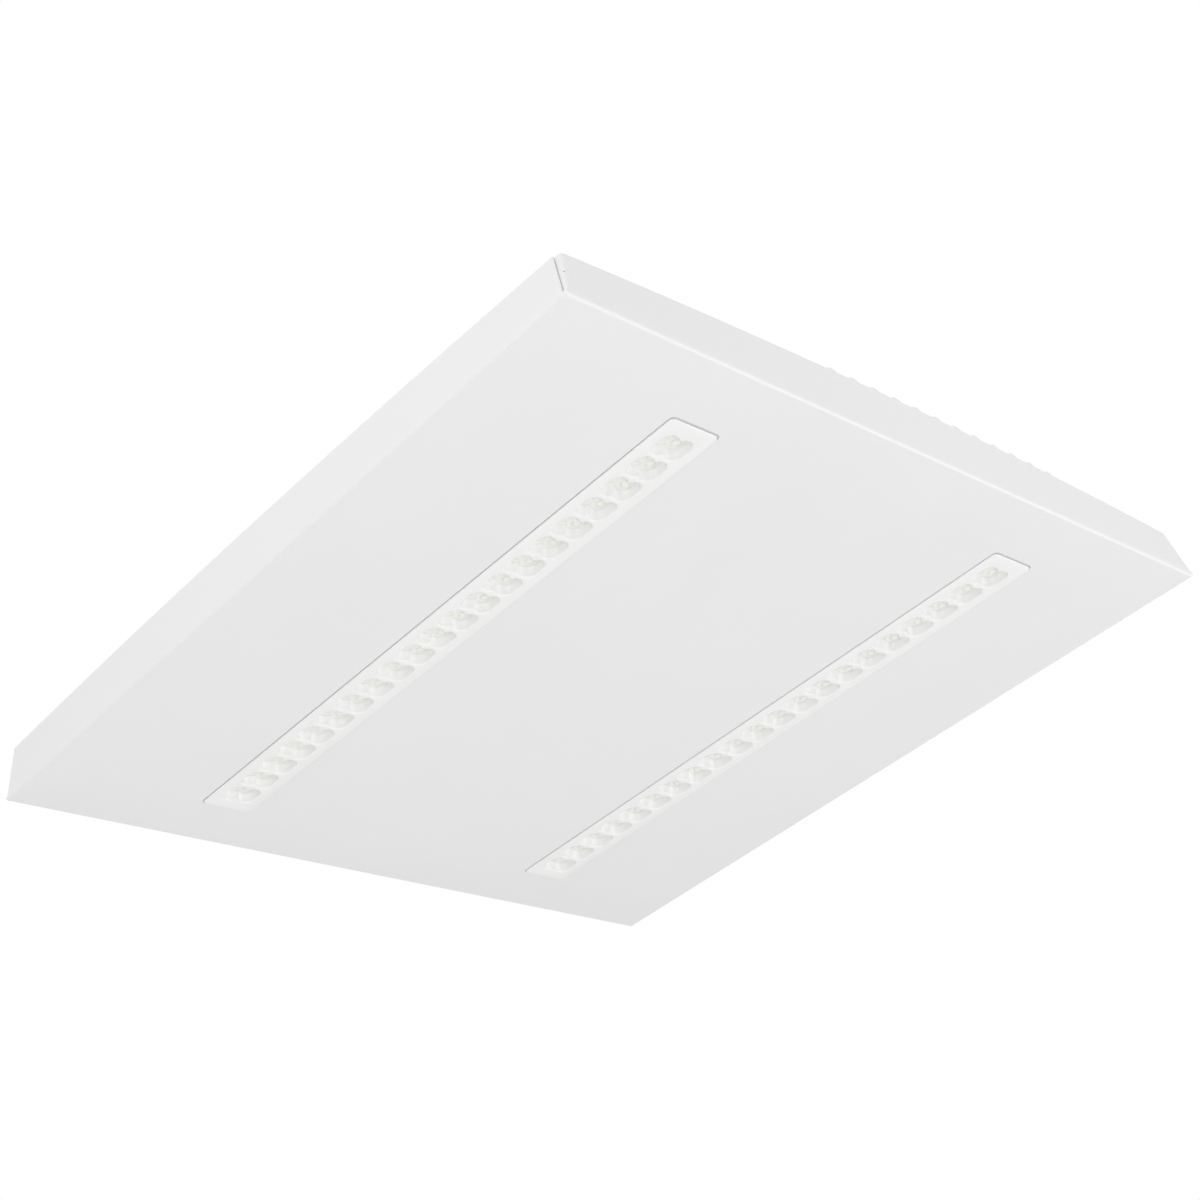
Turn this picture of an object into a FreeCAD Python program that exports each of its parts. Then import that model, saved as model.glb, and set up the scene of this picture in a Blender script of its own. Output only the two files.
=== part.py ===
"""Recessed troffer light for a 600 mm ceiling grid, as separate sub-parts.

Frame: millimetres, +Z up into the ceiling, origin at the centre of the room-side face.
The two light strips run along Y, at equal distances left and right of the origin.
"""

import FreeCAD, Part
import math
import os

Vec = FreeCAD.Vector

# ---- driving dimensions: the tray ----
FACE = 595.0             # side of the square face
SHEET = 0.8              # steel sheet of the tray, carriers and covers
WALL_HEIGHT = 38.7       # top edge of the walls above the face
RIM = 3.0                # height at which the walls start to lean
BEND = 2.0               # outer radius of the bends round the face
END_PULL = 6.0           # how far the ends of the front and back walls lean in at the top
SIDE_PULL_STEEP = 8.4    # lean of a side wall at the end where it leans most
SIDE_PULL_SLIGHT = 3.6   # lean at its other end
SIDE_PULL_MID = 1.5      # lean of the side walls at mid-length
CORNER_GAP = 0.6         # play between a corner tab and the wall in front of it
CORNER_FOLD_LOW = 1.1    # outer radius of the upright corner folds at the rim
CORNER_FOLD_HIGH = 2.6   # and at the wall top
CORNER_TAB = 14.0        # length of the corner tabs
SLIT_LOW = 2.7           # open corner slit at the steep end of a side wall, at the rim
SLIT_HIGH = 5.0          # and at the wall top
SLIT_NARROW = 1.8        # open corner slit at its slight end
NIB_HEIGHT = 1.8         # rounded nibs along the top of the end walls
NIB_WIDTH = 10.0
NIB_PITCH = 20.0
NIB_COUNT = 12
NIB_FIRST = -72.5        # place of the first nib along the front wall
FOLD_HOLE = 0.8          # radius of the small tooling hole in each corner fold

# ---- driving dimensions: the light strips ----
STRIP_OFFSET = 152.0     # strip centre line from the middle of the face
NOSE_WIDTH = 39.5        # part of the optic that shows in the slot
NOSE_LENGTH = 494.5
NOSE_CORNER = 3.5
NOSE_PROUD = 1.0         # the optic stands this far below the face
NOSE_EDGE = 0.8          # rounded edge of the optic
SLOT_GAP = 0.6           # open gap between the optic and the slot on three sides
SLOT_GAP_FRONT = 1.5     # wider gap at the front end, where the optic is slid in
CUP_COUNT = 21
CUP_PITCH = 22.6
CUP_TOP = 5.2            # the cups end here, at the lens bar
LOBE_SPREAD = 5.4        # the two lobes of a cup lie this far left and right of its middle
CUP_SECTIONS = (         # length, lobe radius and height of a cup's outlines, mouth first
    (21.2, 7.3, -1.0), (20.0, 6.7, -0.2), (18.8, 6.4, 1.6), (16.7, 6.1, 3.4), (13.6, 5.6, 5.2))
FLANGE_LIP = 2.4         # overlap of the optic's flange behind the face
FLANGE_THICK = 1.6
BLOCK_WIDTH = 31.0       # width of the moulding behind the flange
BLOCK_LENGTH = 482.0
GROOVE_DEPTH = 2.3       # notches between the cups, on the back of the moulding
GROOVE_HALF = 2.0
LENS_WIDTH = 29.0
LENS_THICK = 1.2
DOME_RADIUS = 3.2        # lens over each LED
DOME_HEIGHT = 1.3
BOARD_WIDTH = 27.0
BOARD_THICK = 1.2
LED_SIZE = 3.0
LED_HEIGHT = 0.7
CARRIER_WEB = 10.1       # mid-plane of the carrier's web above the face
CARRIER_HALF = 17.3      # mid-plane of the carrier's side walls from its centre line
CARRIER_FOOT = 36.0      # outer edge of the carrier's feet from its centre line
CARRIER_LENGTH = 508.0
CARRIER_FOOT_HOLE = 31.0 # weld studs from its centre line
WINDOW = (5.0, 6.5)      # half width and half length of the lead connector
EYE_SHEET = 1.0          # sheet of the suspension eyes
EYE_HEIGHT = 27.0
EYE_RISER = 7.0          # riser of an eye, outwards from the strip's centre line
EYE_HOLE = 3.0
EYE_REACH = 22.5         # middle of the hole, outwards from the strip's centre line
EYE_ROUND = 8.0          # half width of an eye, and radius of its end
EYE_RIVET = 1.5          # rivet, inwards from the strip's centre line
EYE_Y = 165.0

# ---- driving dimensions: gear cover, lid and wiring ----
COVER_WIDTH = 150.0
COVER_LENGTH = 420.0
COVER_TOP = 33.8
COVER_FOOT = 16.0
ACCESS_X = (-58.0, 54.0)     # access opening in the cover
ACCESS_Y = (-196.0, -66.0)
LID_LAP = 6.0                # overlap of the lid on the cover
LID_LIFT = 0.3               # air between lid and cover
HINGE_X = 62.0               # hinge axis, along Y
PIN_RADIUS = 1.0
KNUCKLE_RADIUS = 1.9
KNUCKLE_CLEARANCE = 0.05
KNUCKLE_LONG = 30.0          # knuckles of the lid
KNUCKLE_SHORT = 14.0         # knuckles of the cover
KNUCKLE_GAP = 0.4
DRIVER_X = 36.0
DRIVER_Y = (-35.0, 175.0)
DRIVER_WIDTH = 42.0
DRIVER_HEIGHT = 23.0
BLOCK_CENTRE = (-5.0, -128.0)
POLES = ("live", "neutral", "earth", "dim_a", "dim_b")
POLE_PITCH = 8.0
TERMINAL_TOP = 24.0
BUTTON_TRAVEL = 1.5
BUTTON_PLAY = 0.3
GROMMET_AT = (-42.0, -34.0)
GROMMET_HOLE = 8.0
GROMMET_BORE = 5.0
WIRE_RADIUS = 1.1
LEAD_Y = 201.0               # the leads to the strips cross the tray here
LEAD_PAIR = (2.6, -2.6)      # the two leads of a strip, before and behind that line
LEAD_ENTRY = 3.0             # height of the leads in a strip's connector
DRIVER_RECESS = 12.0         # depth of the recesses in the driver's ends
DRIVER_SILL = 3.0            # height of their lower edge over the case's floor
CONNECTOR_HEIGHT = 14.5
DRIVER_ENTRY = 3.6           # height of the wires in the driver's connectors
INPUT_PITCH = 7.0
OUTPUT_PITCH = 9.0
BLOCK_HALF = 15.0            # half depth of the mains terminal
FUNNEL_HEIGHT = 9.0          # height of its wire entries above the face
STUD_RADIUS = 2.0
STUD_TOP = 7.5
STUD_HOLE = 2.3              # radius of the holes that drop over the studs
SCREW_HOLE = 1.6
NUT_FLATS = 7.0
NUT_HEIGHT = 3.2
SEAT = 0.05                  # air left between pieces that bear on each other

HALF = FACE / 2.0
CARRIER_STUDS = [(side * STRIP_OFFSET + foot * CARRIER_FOOT_HOLE, y)
                 for side in (-1, 1) for foot in (-1, 1) for y in (-220.0, 0.0, 220.0)]
COVER_STUDS = [(side * 84.0, y) for side in (-1, 1) for y in (-180.0, -60.0, 60.0, 180.0)]
DRIVER_STUDS = [(9.5, -15.0), (62.5, 155.0)]
TERMINAL_STUDS = [(BLOCK_CENTRE[0] - 29.0, BLOCK_CENTRE[1]), (BLOCK_CENTRE[0] + 29.0, BLOCK_CENTRE[1])]
EARTH_STUD = (-50.0, -176.0)


# ---- shared shapes ----
def box(x0, x1, y0, y1, z0, z1):
    """Box between two opposite corners."""
    return Part.makeBox(x1 - x0, y1 - y0, z1 - z0, Vec(x0, y0, z0))


def moved(shape, x=0.0, y=0.0, z=0.0):
    """Copy of a shape, shifted."""
    copy = shape.copy()
    copy.translate(Vec(x, y, z))
    return copy


def turned(shape, degrees):
    """Copy of a shape, turned about the vertical axis through the origin."""
    copy = shape.copy()
    copy.rotate(Vec(0, 0, 0), Vec(0, 0, 1), degrees)
    return copy


def disc(x, y, radius, z0, z1):
    """Upright cylinder."""
    return Part.makeCylinder(radius, z1 - z0, Vec(x, y, z0))


def ring_outline(corners, radius, z):
    """Closed outline through right-angled corners, each rounded by the radius."""
    points = [Vec(x, y, z) for x, y in corners]
    edges = []
    count = len(points)
    for i, corner in enumerate(points):
        back = (points[i - 1] - corner).normalize()
        ahead = (points[(i + 1) % count] - corner).normalize()
        start = corner + back * radius
        end = corner + ahead * radius
        middle = corner + (back + ahead) * radius * (1.0 - math.sqrt(0.5))
        edges.append(Part.Arc(start, middle, end).toShape())
        following = points[(i + 1) % count]
        edges.append(Part.LineSegment(end, following - ahead * radius).toShape())
    return Part.Wire(edges)


def rounded_outline(width, length, radius, z):
    """Rounded rectangle centred on the origin, at height z."""
    w, l = width / 2.0, length / 2.0
    return ring_outline([(-w, -l), (w, -l), (w, l), (-w, l)], radius, z)


def rounded_plate(width, length, radius, z0, z1):
    """Flat plate with rounded corners."""
    return Part.Face(rounded_outline(width, length, radius, z0)).extrude(Vec(0, 0, z1 - z0))


def fold_chain(points, offset, middle_radius):
    """Edges of a folded line, shifted sideways by the offset; the bends are arcs."""
    edges = []
    normal = Vec(0, 1, 0)
    side = normal.cross((points[1] - points[0]).normalize())
    here = points[0] + side * offset
    for before, corner, after in zip(points, points[1:], points[2:]):
        inward = (corner - before).normalize()
        outward = (after - corner).normalize()
        turn = inward.getAngle(outward)
        left = normal.cross(inward)
        sense = 1.0 if left.dot(outward) > 0 else -1.0
        reach = middle_radius * math.tan(turn / 2.0)
        centre = corner - inward * reach + left * sense * middle_radius
        radius = middle_radius - sense * offset
        first = centre - left * sense * radius
        last = centre - normal.cross(outward) * sense * radius
        edges.append(Part.LineSegment(here, first).toShape())
        crown = centre + (corner - centre).normalize() * radius
        edges.append(Part.Arc(first, crown, last).toShape())
        here = last
    final = (points[-1] - points[-2]).normalize()
    edges.append(Part.LineSegment(here, points[-1] + normal.cross(final) * offset).toShape())
    return edges


def folded_sheet(points, y0, y1, sheet=SHEET, inner_radius=0.6):
    """Sheet folded along a mid-line given as (x, z) points, running from y0 to y1."""
    line = [Vec(x, y0, z) for x, z in points]
    middle_radius = inner_radius + sheet / 2.0
    near = fold_chain(line, sheet / 2.0, middle_radius)
    far = fold_chain(line, -sheet / 2.0, middle_radius)
    caps = []
    for index in (0, -1):
        ends = [chain[index].Vertexes[index].Point for chain in (near, far)]
        caps.append(Part.LineSegment(ends[0], ends[1]).toShape())
    outline = Part.Wire(Part.__sortEdges__(near + far + caps))
    return Part.Face(outline).extrude(Vec(0, y1 - y0, 0))


def nut(x, y, z):
    """Hexagon nut on a stud."""
    reach = NUT_FLATS / 2.0 / math.cos(math.radians(30))
    corners = [Vec(x + reach * math.cos(math.radians(60 * i)), y + reach * math.sin(math.radians(60 * i)), z)
               for i in range(7)]
    body = Part.Face(Part.makePolygon(corners)).extrude(Vec(0, 0, NUT_HEIGHT))
    return body.cut(disc(x, y, STUD_RADIUS + SEAT, z - 1, z + NUT_HEIGHT + 1))


def holes(places, radius, z0, z1):
    """Upright cylinders at several places, as one cutting tool."""
    return Part.makeCompound([disc(x, y, radius, z0, z1) for x, y in places])


def route(points):
    """Path of straight runs joined by tangent arcs as large as the runs allow."""
    line = [Vec(*point) for point in points]
    edges = []
    here = line[0]
    for before, corner, after in zip(line, line[1:], line[2:]):
        inward = (corner - before).normalize()
        outward = (after - corner).normalize()
        reach = 0.45 * min((corner - before).Length, (after - corner).Length)
        radius = reach / math.tan(inward.getAngle(outward) / 2.0)
        start = corner - inward * reach
        end = corner + outward * reach
        bisector = (outward - inward).normalize()
        centre = corner + bisector * math.hypot(radius, reach)
        edges.append(Part.LineSegment(here, start).toShape())
        edges.append(Part.Arc(start, centre - bisector * radius, end).toShape())
        here = end
    edges.append(Part.LineSegment(here, line[-1]).toShape())
    return Part.Wire(edges)


def tube(points, radius=WIRE_RADIUS):
    """Insulated wire along a route."""
    path = route(points)
    start = Vec(*points[0])
    circle = Part.Wire(Part.makeCircle(radius, start, Vec(*points[1]) - start))
    return path.makePipeShell([circle], True, False)


# ---- tray ----
def base_pan():
    """The face with its low turned-up rim."""
    pan = box(-HALF, HALF, -HALF, HALF, 0, RIM)
    outer = [e for e in pan.Edges if e.BoundBox.ZMax < 0.01]
    pan = pan.makeFillet(BEND, outer)
    inside = HALF - SHEET
    room = box(-inside, inside, -inside, inside, SHEET, RIM + 1)
    low = [e for e in room.Edges if e.BoundBox.ZMax < SHEET + 0.01]
    return pan.cut(room.makeFillet(BEND - SHEET, low))


def bowed_edge(start, end, depth):
    """Edge from start to end that bows towards the front by the depth."""
    if depth < 0.01:
        return Part.LineSegment(start, end).toShape()
    middle = (start + end) * 0.5 - Vec(0, depth, 0)
    return Part.Arc(start, middle, end).toShape()


def fold_places(grow):
    """Outer faces of the left and right corner tab from the tray's edges, at a share of the lean."""
    low = SHEET + CORNER_GAP
    return low + SIDE_PULL_STEEP * grow, low + SIDE_PULL_SLIGHT * grow


def fold_radius(grow):
    """Outer radius of the corner folds at a share of the lean."""
    return CORNER_FOLD_LOW + (CORNER_FOLD_HIGH - CORNER_FOLD_LOW) * grow


def corner_chain(side, x, y, z, radius):
    """Outline of one upright corner fold and its tab, from the outside of the wall to its inside."""
    slant = radius * (1.0 - math.sqrt(0.5))
    slant_in = SHEET + (radius - SHEET) * (1.0 - math.sqrt(0.5))
    fold_start = Vec(x - side * radius, y, z)
    fold_end = Vec(x, y + radius, z)
    tab_end = Vec(x, y + CORNER_TAB, z)
    tab_inner = Vec(x - side * SHEET, y + CORNER_TAB, z)
    inner_end = Vec(x - side * SHEET, y + radius, z)
    inner_start = Vec(x - side * radius, y + SHEET, z)
    return [Part.Arc(fold_start, Vec(x - side * slant, y + slant, z), fold_end).toShape(),
            Part.LineSegment(fold_end, tab_end).toShape(),
            Part.LineSegment(tab_end, tab_inner).toShape(),
            Part.LineSegment(tab_inner, inner_end).toShape(),
            Part.Arc(inner_end, Vec(x - side * slant_in, y + slant_in, z), inner_start).toShape()]


def end_wall_outline(z, grow):
    """Plan outline of the front wall with both corner tabs, at a share of its lean."""
    pull = END_PULL * grow
    y = -HALF + pull
    left, right = fold_places(grow)
    left, right = -HALF + left, HALF - right
    inward = Vec(0, SHEET, 0)
    radius = fold_radius(grow)
    start, end = Vec(left + radius, y, z), Vec(right - radius, y, z)
    edges = [bowed_edge(start, end, pull), bowed_edge(end + inward, start + inward, pull)]
    edges += corner_chain(1, right, y, z, radius) + corner_chain(-1, left, y, z, radius)
    return Part.Wire(Part.__sortEdges__(edges))


def nib_comb():
    """Everything above the plain wall top, except the row of rounded nibs."""
    over = WALL_HEIGHT + NIB_HEIGHT + 1.0
    edges = []
    here = Vec(-HALF, 0, WALL_HEIGHT)
    for i in range(NIB_COUNT):
        x = NIB_FIRST + i * NIB_PITCH
        start, end = Vec(x - NIB_WIDTH / 2, 0, WALL_HEIGHT), Vec(x + NIB_WIDTH / 2, 0, WALL_HEIGHT)
        edges.append(Part.LineSegment(here, start).toShape())
        edges.append(Part.Arc(start, Vec(x, 0, WALL_HEIGHT + NIB_HEIGHT), end).toShape())
        here = end
    frame = [here, Vec(HALF, 0, WALL_HEIGHT), Vec(HALF, 0, over), Vec(-HALF, 0, over),
             Vec(-HALF, 0, WALL_HEIGHT)]
    edges += [Part.LineSegment(a, b).toShape() for a, b in zip(frame, frame[1:])]
    return moved(Part.Face(Part.Wire(edges)).extrude(Vec(0, 40, 0)), y=-HALF - 1)


def fold_holes():
    """Tooling holes through the two corner folds, half-way up."""
    z = (RIM + WALL_HEIGHT) / 2.0
    into = fold_radius(0.5) * (1.0 - math.sqrt(0.5))
    tools = []
    for side, fold in zip((-1, 1), fold_places(0.5)):
        crown = Vec(side * (HALF - fold - into), -HALF + END_PULL / 2.0 + into, z)
        inward = Vec(-side, 1, 0).normalize()
        tools.append(Part.makeCylinder(FOLD_HOLE, 4.0, crown - inward * 2.0, inward))
    return Part.makeCompound(tools)


def end_wall():
    """Front wall: upright in the middle, drawn in at its ends, with tabs and nibs."""
    top = WALL_HEIGHT + NIB_HEIGHT
    low = end_wall_outline(RIM, 0.0)
    high = end_wall_outline(top, (top - RIM) / (WALL_HEIGHT - RIM))
    wall = Part.makeLoft([low, high], True, True)
    return wall.cut([nib_comb(), fold_holes()])


def side_wall_outline(z, grow):
    """Plan outline of a plain wall, drawn as if it stood at the front, at a share of its lean."""
    start = Vec(-HALF + SLIT_NARROW + END_PULL * grow, -HALF + SIDE_PULL_SLIGHT * grow, z)
    slit = SLIT_LOW + (SLIT_HIGH - SLIT_LOW) * grow
    end = Vec(HALF - slit - END_PULL * grow, -HALF + SIDE_PULL_STEEP * grow, z)
    bow = ((SIDE_PULL_SLIGHT + SIDE_PULL_STEEP) / 2.0 - SIDE_PULL_MID) * grow
    inward = Vec(0, SHEET, 0)
    return Part.Wire([bowed_edge(start, end, bow), Part.LineSegment(end, end + inward).toShape(),
                      bowed_edge(end + inward, start + inward, bow),
                      Part.LineSegment(start + inward, start).toShape()])


def side_wall():
    """Plain wall with slanted ends, drawn as if it stood at the front."""
    return Part.makeLoft([side_wall_outline(RIM, 0.0), side_wall_outline(WALL_HEIGHT, 1.0)], True, True)


def tray():
    """Folded steel tray with its two slots and the welded studs."""
    shape = base_pan()
    walls = [end_wall(), turned(end_wall(), 180), turned(side_wall(), 90), turned(side_wall(), -90)]
    shape = shape.fuse(walls)
    slot = rounded_plate(NOSE_WIDTH + 2 * SLOT_GAP, NOSE_LENGTH + SLOT_GAP + SLOT_GAP_FRONT,
                         NOSE_CORNER + SLOT_GAP, -1, 2)
    middle = (SLOT_GAP - SLOT_GAP_FRONT) / 2.0
    shape = shape.cut([moved(slot, side * STRIP_OFFSET, middle) for side in (-1, 1)])
    studs = [disc(x, y, STUD_RADIUS, SHEET, STUD_TOP)
             for x, y in CARRIER_STUDS + COVER_STUDS + DRIVER_STUDS + TERMINAL_STUDS + [EARTH_STUD]]
    return shape.fuse(studs)


# ---- light strips ----
def cup_outline(length, radius, z):
    """Two-lobed outline of a cup: two rounded slots side by side that run together."""
    spread = LOBE_SPREAD
    run = length / 2.0 - radius
    waist = run + math.sqrt(radius ** 2 - spread ** 2)
    out = spread + radius
    lobe = math.radians((180.0 + math.degrees(math.acos(spread / radius))) / 2.0)
    dx, dy = radius * math.cos(lobe), radius * math.sin(lobe)
    top, bottom = Vec(0, waist, z), Vec(0, -waist, z)
    left_top, left_low = Vec(-out, run, z), Vec(-out, -run, z)
    right_top, right_low = Vec(out, run, z), Vec(out, -run, z)
    return Part.Wire([
        Part.Arc(top, Vec(-spread + dx, run + dy, z), left_top).toShape(),
        Part.LineSegment(left_top, left_low).toShape(),
        Part.Arc(left_low, Vec(-spread + dx, -run - dy, z), bottom).toShape(),
        Part.Arc(bottom, Vec(spread - dx, -run - dy, z), right_low).toShape(),
        Part.LineSegment(right_low, right_top).toShape(),
        Part.Arc(right_top, Vec(spread - dx, run + dy, z), top).toShape()])


def cup_places():
    """Places of the cups along a strip."""
    return [(i - (CUP_COUNT - 1) / 2.0) * CUP_PITCH for i in range(CUP_COUNT)]


def louvre(side):
    """Moulded cell optic: rounded nose in the slot, flange behind the face, row of cups."""
    nose = rounded_plate(NOSE_WIDTH, NOSE_LENGTH, NOSE_CORNER, -NOSE_PROUD, SHEET + 0.5)
    low = [e for e in nose.Edges if e.BoundBox.ZMax < -NOSE_PROUD + 0.01]
    nose = nose.makeFillet(NOSE_EDGE, low)
    around = SLOT_GAP + FLANGE_LIP
    flange_low = SHEET + SEAT
    flange = rounded_plate(NOSE_WIDTH + 2 * around, NOSE_LENGTH + 2 * (SLOT_GAP_FRONT + FLANGE_LIP),
                           NOSE_CORNER + around, flange_low, flange_low + FLANGE_THICK)
    block = rounded_plate(BLOCK_WIDTH, BLOCK_LENGTH, 4.0, flange_low + FLANGE_THICK / 2, CUP_TOP)
    body = nose.fuse([flange, block])
    cup = Part.makeLoft([cup_outline(*section) for section in CUP_SECTIONS], True, True)
    cups = Part.makeCompound([moved(cup, y=y) for y in cup_places()])
    return moved(body.cut([cups, back_grooves()]), x=side * STRIP_OFFSET)


def back_grooves():
    """Notches between neighbouring cups, across the back of the moulding."""
    across = BLOCK_WIDTH / 2.0 + 1.0
    apex = CUP_TOP - GROOVE_DEPTH
    corners = [(-GROOVE_HALF, CUP_TOP), (GROOVE_HALF, CUP_TOP), (0, apex), (-GROOVE_HALF, CUP_TOP)]
    face = Part.Face(Part.makePolygon([Vec(-across, y, z) for y, z in corners]))
    groove = face.extrude(Vec(2 * across, 0, 0))
    return Part.makeCompound([moved(groove, y=y + CUP_PITCH / 2) for y in cup_places()[:-1]])


def led_places():
    """Places of the LEDs on a board, two to a cup."""
    return [(x, y) for y in cup_places() for x in (-LOBE_SPREAD, LOBE_SPREAD)]


def lens_bar(side):
    """Clear bar behind the cups, with a shallow lens for each LED."""
    length = (CUP_COUNT - 1) * CUP_PITCH + 24.0
    low = CUP_TOP + SEAT
    bar = rounded_plate(LENS_WIDTH, length, 2.0, low, low + LENS_THICK)
    return moved(bar.fuse([moved(dome(low), x, y) for x, y in led_places()]), x=side * STRIP_OFFSET)


def dome(base):
    """Downward lens dome under a base height, sunk a little into the bar."""
    sunk = 0.2
    radius = (DOME_RADIUS ** 2 + DOME_HEIGHT ** 2) / (2.0 * DOME_HEIGHT)
    centre = base - DOME_HEIGHT + radius
    upper = math.degrees(math.asin((base + sunk - centre) / radius))
    return Part.makeSphere(radius, Vec(0, 0, centre), Vec(0, 0, 1), -90, upper, 360)


def board_screw_places():
    """Screws of a board, between the cups on its centre line."""
    return [(0.0, k * CUP_PITCH) for k in (-9.5, -3.5, 3.5, 9.5)]


def board_low():
    """Height of the board's LED side."""
    return CARRIER_WEB - SHEET / 2 - SEAT - BOARD_THICK


def led_board(side):
    """Printed board under the carrier's web."""
    length = (CUP_COUNT - 1) * CUP_PITCH + 22.0
    board = rounded_plate(BOARD_WIDTH, length, 1.5, board_low(), board_low() + BOARD_THICK)
    board = board.cut(holes(board_screw_places(), SCREW_HOLE, 0, 20))
    return moved(board, x=side * STRIP_OFFSET)


def leds(side):
    """The LED packages of one board, as separate solids."""
    half = LED_SIZE / 2.0
    top = board_low() - SEAT
    return Part.makeCompound([box(side * STRIP_OFFSET + x - half, side * STRIP_OFFSET + x + half,
                                  y - half, y + half, top - LED_HEIGHT, top) for x, y in led_places()])


def board_screws():
    """Pan-head screws that hold both boards to the carriers."""
    solids = []
    for side in (-1, 1):
        for x, y in board_screw_places():
            head = disc(x, y, 2.4, board_low() - SEAT - 0.9, board_low() - SEAT)
            screw = head.fuse(disc(x, y, SCREW_HOLE - 0.2, board_low() - SEAT, CARRIER_WEB + 1.6))
            solids.append(moved(screw, x=side * STRIP_OFFSET))
    return Part.makeCompound(solids)


def carrier(side):
    """Hat-section carrier: clamps the optic, holds the board and spreads its heat."""
    foot = SHEET + SEAT + SHEET / 2
    ledge = foot + FLANGE_THICK + SEAT
    half = [(-CARRIER_FOOT, foot), (-25.8, foot), (-24.2, ledge), (-CARRIER_HALF, ledge),
            (-CARRIER_HALF, CARRIER_WEB)]
    line = half + [(-x, z) for x, z in reversed(half)]
    end = CARRIER_LENGTH / 2.0
    shape = folded_sheet(line, -end, end)
    sunk = 0.1
    inside = CARRIER_HALF - sunk
    flap = box(-inside, inside, end - SHEET, end, ledge + 0.2, CARRIER_WEB - sunk)
    shape = shape.fuse([flap, moved(flap, y=SHEET - 2 * end)])
    x0 = side * STRIP_OFFSET
    studs = [(x - x0, y) for x, y in CARRIER_STUDS if abs(x - x0) < CARRIER_FOOT]
    shape = shape.cut(holes(studs, STUD_HOLE, 0, 5))
    under, over = CARRIER_WEB - 1.0, CARRIER_WEB + 1.0
    shape = shape.cut(holes(board_screw_places(), SCREW_HOLE, under, over))
    across, along = WINDOW[0] + 0.8, WINDOW[1] + 0.8
    shape = shape.cut(box(-across, across, LEAD_Y - along, LEAD_Y + along, under, over))
    return moved(shape, x=x0)


def led_connector(side):
    """Push-in connector for the strip's leads, on the back of the board."""
    across, along = WINDOW
    low = board_low() + BOARD_THICK + SEAT
    body = box(-across, across, LEAD_Y - along, LEAD_Y + along, low, low + 5.6)
    body = body.makeFillet(0.6, [e for e in body.Edges if e.BoundBox.ZMin > low + 1])
    deep, out = -side * (across - 3.0), -side * (across + 1.0)
    entry = box(min(deep, out), max(deep, out), -1.5, 1.5, low + 1.4, low + 4.6)
    body = body.cut([moved(entry, y=LEAD_Y + dy) for dy in LEAD_PAIR])
    return moved(body, x=side * STRIP_OFFSET)


def eye_places():
    """Places of the suspension eyes: strip centre line, side of the tray and place along it."""
    return [(side * STRIP_OFFSET, side, y) for side in (-1, 1) for y in (-EYE_Y, EYE_Y)]


def suspension_brackets():
    """Four stepped eyes on the carriers, each with a hole for a safety wire's hook."""
    low = CARRIER_WEB + SHEET / 2 + SEAT + EYE_SHEET / 2
    line = [(-EYE_RISER, low), (EYE_RISER, low), (EYE_RISER, EYE_HEIGHT), (EYE_REACH + EYE_ROUND, EYE_HEIGHT)]
    bracket = folded_sheet(line, -EYE_ROUND, EYE_ROUND, EYE_SHEET)
    plan = box(-EYE_RISER, EYE_REACH, -EYE_ROUND, EYE_ROUND, 0, 2 * EYE_HEIGHT)
    plan = plan.fuse(disc(EYE_REACH, 0, EYE_ROUND, 0, 2 * EYE_HEIGHT))
    bracket = bracket.common(plan).cut(disc(EYE_REACH, 0, EYE_HOLE, EYE_HEIGHT - 2, EYE_HEIGHT + 2))
    bracket = bracket.cut(disc(-EYE_RIVET, 0, EYE_RIVET + 0.2, 0, low + 2))
    return Part.makeCompound([moved(bracket if side > 0 else turned(bracket, 180), x, y)
                              for x, side, y in eye_places()])


def bracket_rivets():
    """Blind rivets that hold the eyes on the carriers."""
    web = CARRIER_WEB + SHEET / 2 + SEAT
    low = web + EYE_SHEET + SEAT
    solids = []
    for x, side, y in eye_places():
        place = x - side * EYE_RIVET
        head = Part.makeCone(3.2, 2.0, 1.0, Vec(place, y, low))
        solids.append(head.fuse(disc(place, y, EYE_RIVET, web, low)))
    return Part.makeCompound(solids)


# ---- gear cover, lid and hinge ----
def knuckle_spans():
    """Spans of the hinge knuckles along Y, as (start, end, belongs to the lid)."""
    spans = []
    lengths = [KNUCKLE_SHORT, KNUCKLE_LONG, KNUCKLE_SHORT, KNUCKLE_LONG, KNUCKLE_SHORT]
    total = sum(lengths) + KNUCKLE_GAP * (len(lengths) - 1)
    y = (ACCESS_Y[0] + ACCESS_Y[1] - total) / 2.0
    for i, length in enumerate(lengths):
        spans.append((y, y + length, i % 2 == 1))
        y += length + KNUCKLE_GAP
    return spans


def hinge_z():
    """Height of the hinge axis."""
    return COVER_TOP + LID_LIFT + KNUCKLE_RADIUS


def knuckle(y0, y1, bore):
    """Rolled knuckle round the hinge axis."""
    start = Vec(HINGE_X, y0, hinge_z())
    roll = Part.makeCylinder(KNUCKLE_RADIUS, y1 - y0, start, Vec(0, 1, 0))
    return roll.cut(Part.makeCylinder(bore, y1 - y0, start, Vec(0, 1, 0)))


def hinge_pin():
    """Pin through all knuckles, with a small head at each end."""
    spans = knuckle_spans()
    y0, y1 = spans[0][0] - KNUCKLE_GAP, spans[-1][1] + KNUCKLE_GAP
    pin = Part.makeCylinder(PIN_RADIUS, y1 - y0, Vec(HINGE_X, y0, hinge_z()), Vec(0, 1, 0))
    heads = [Part.makeCylinder(1.6, 0.8, Vec(HINGE_X, y, hinge_z()), Vec(0, 1, 0)) for y in (y0 - 0.8, y1)]
    return pin.fuse(heads)


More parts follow.
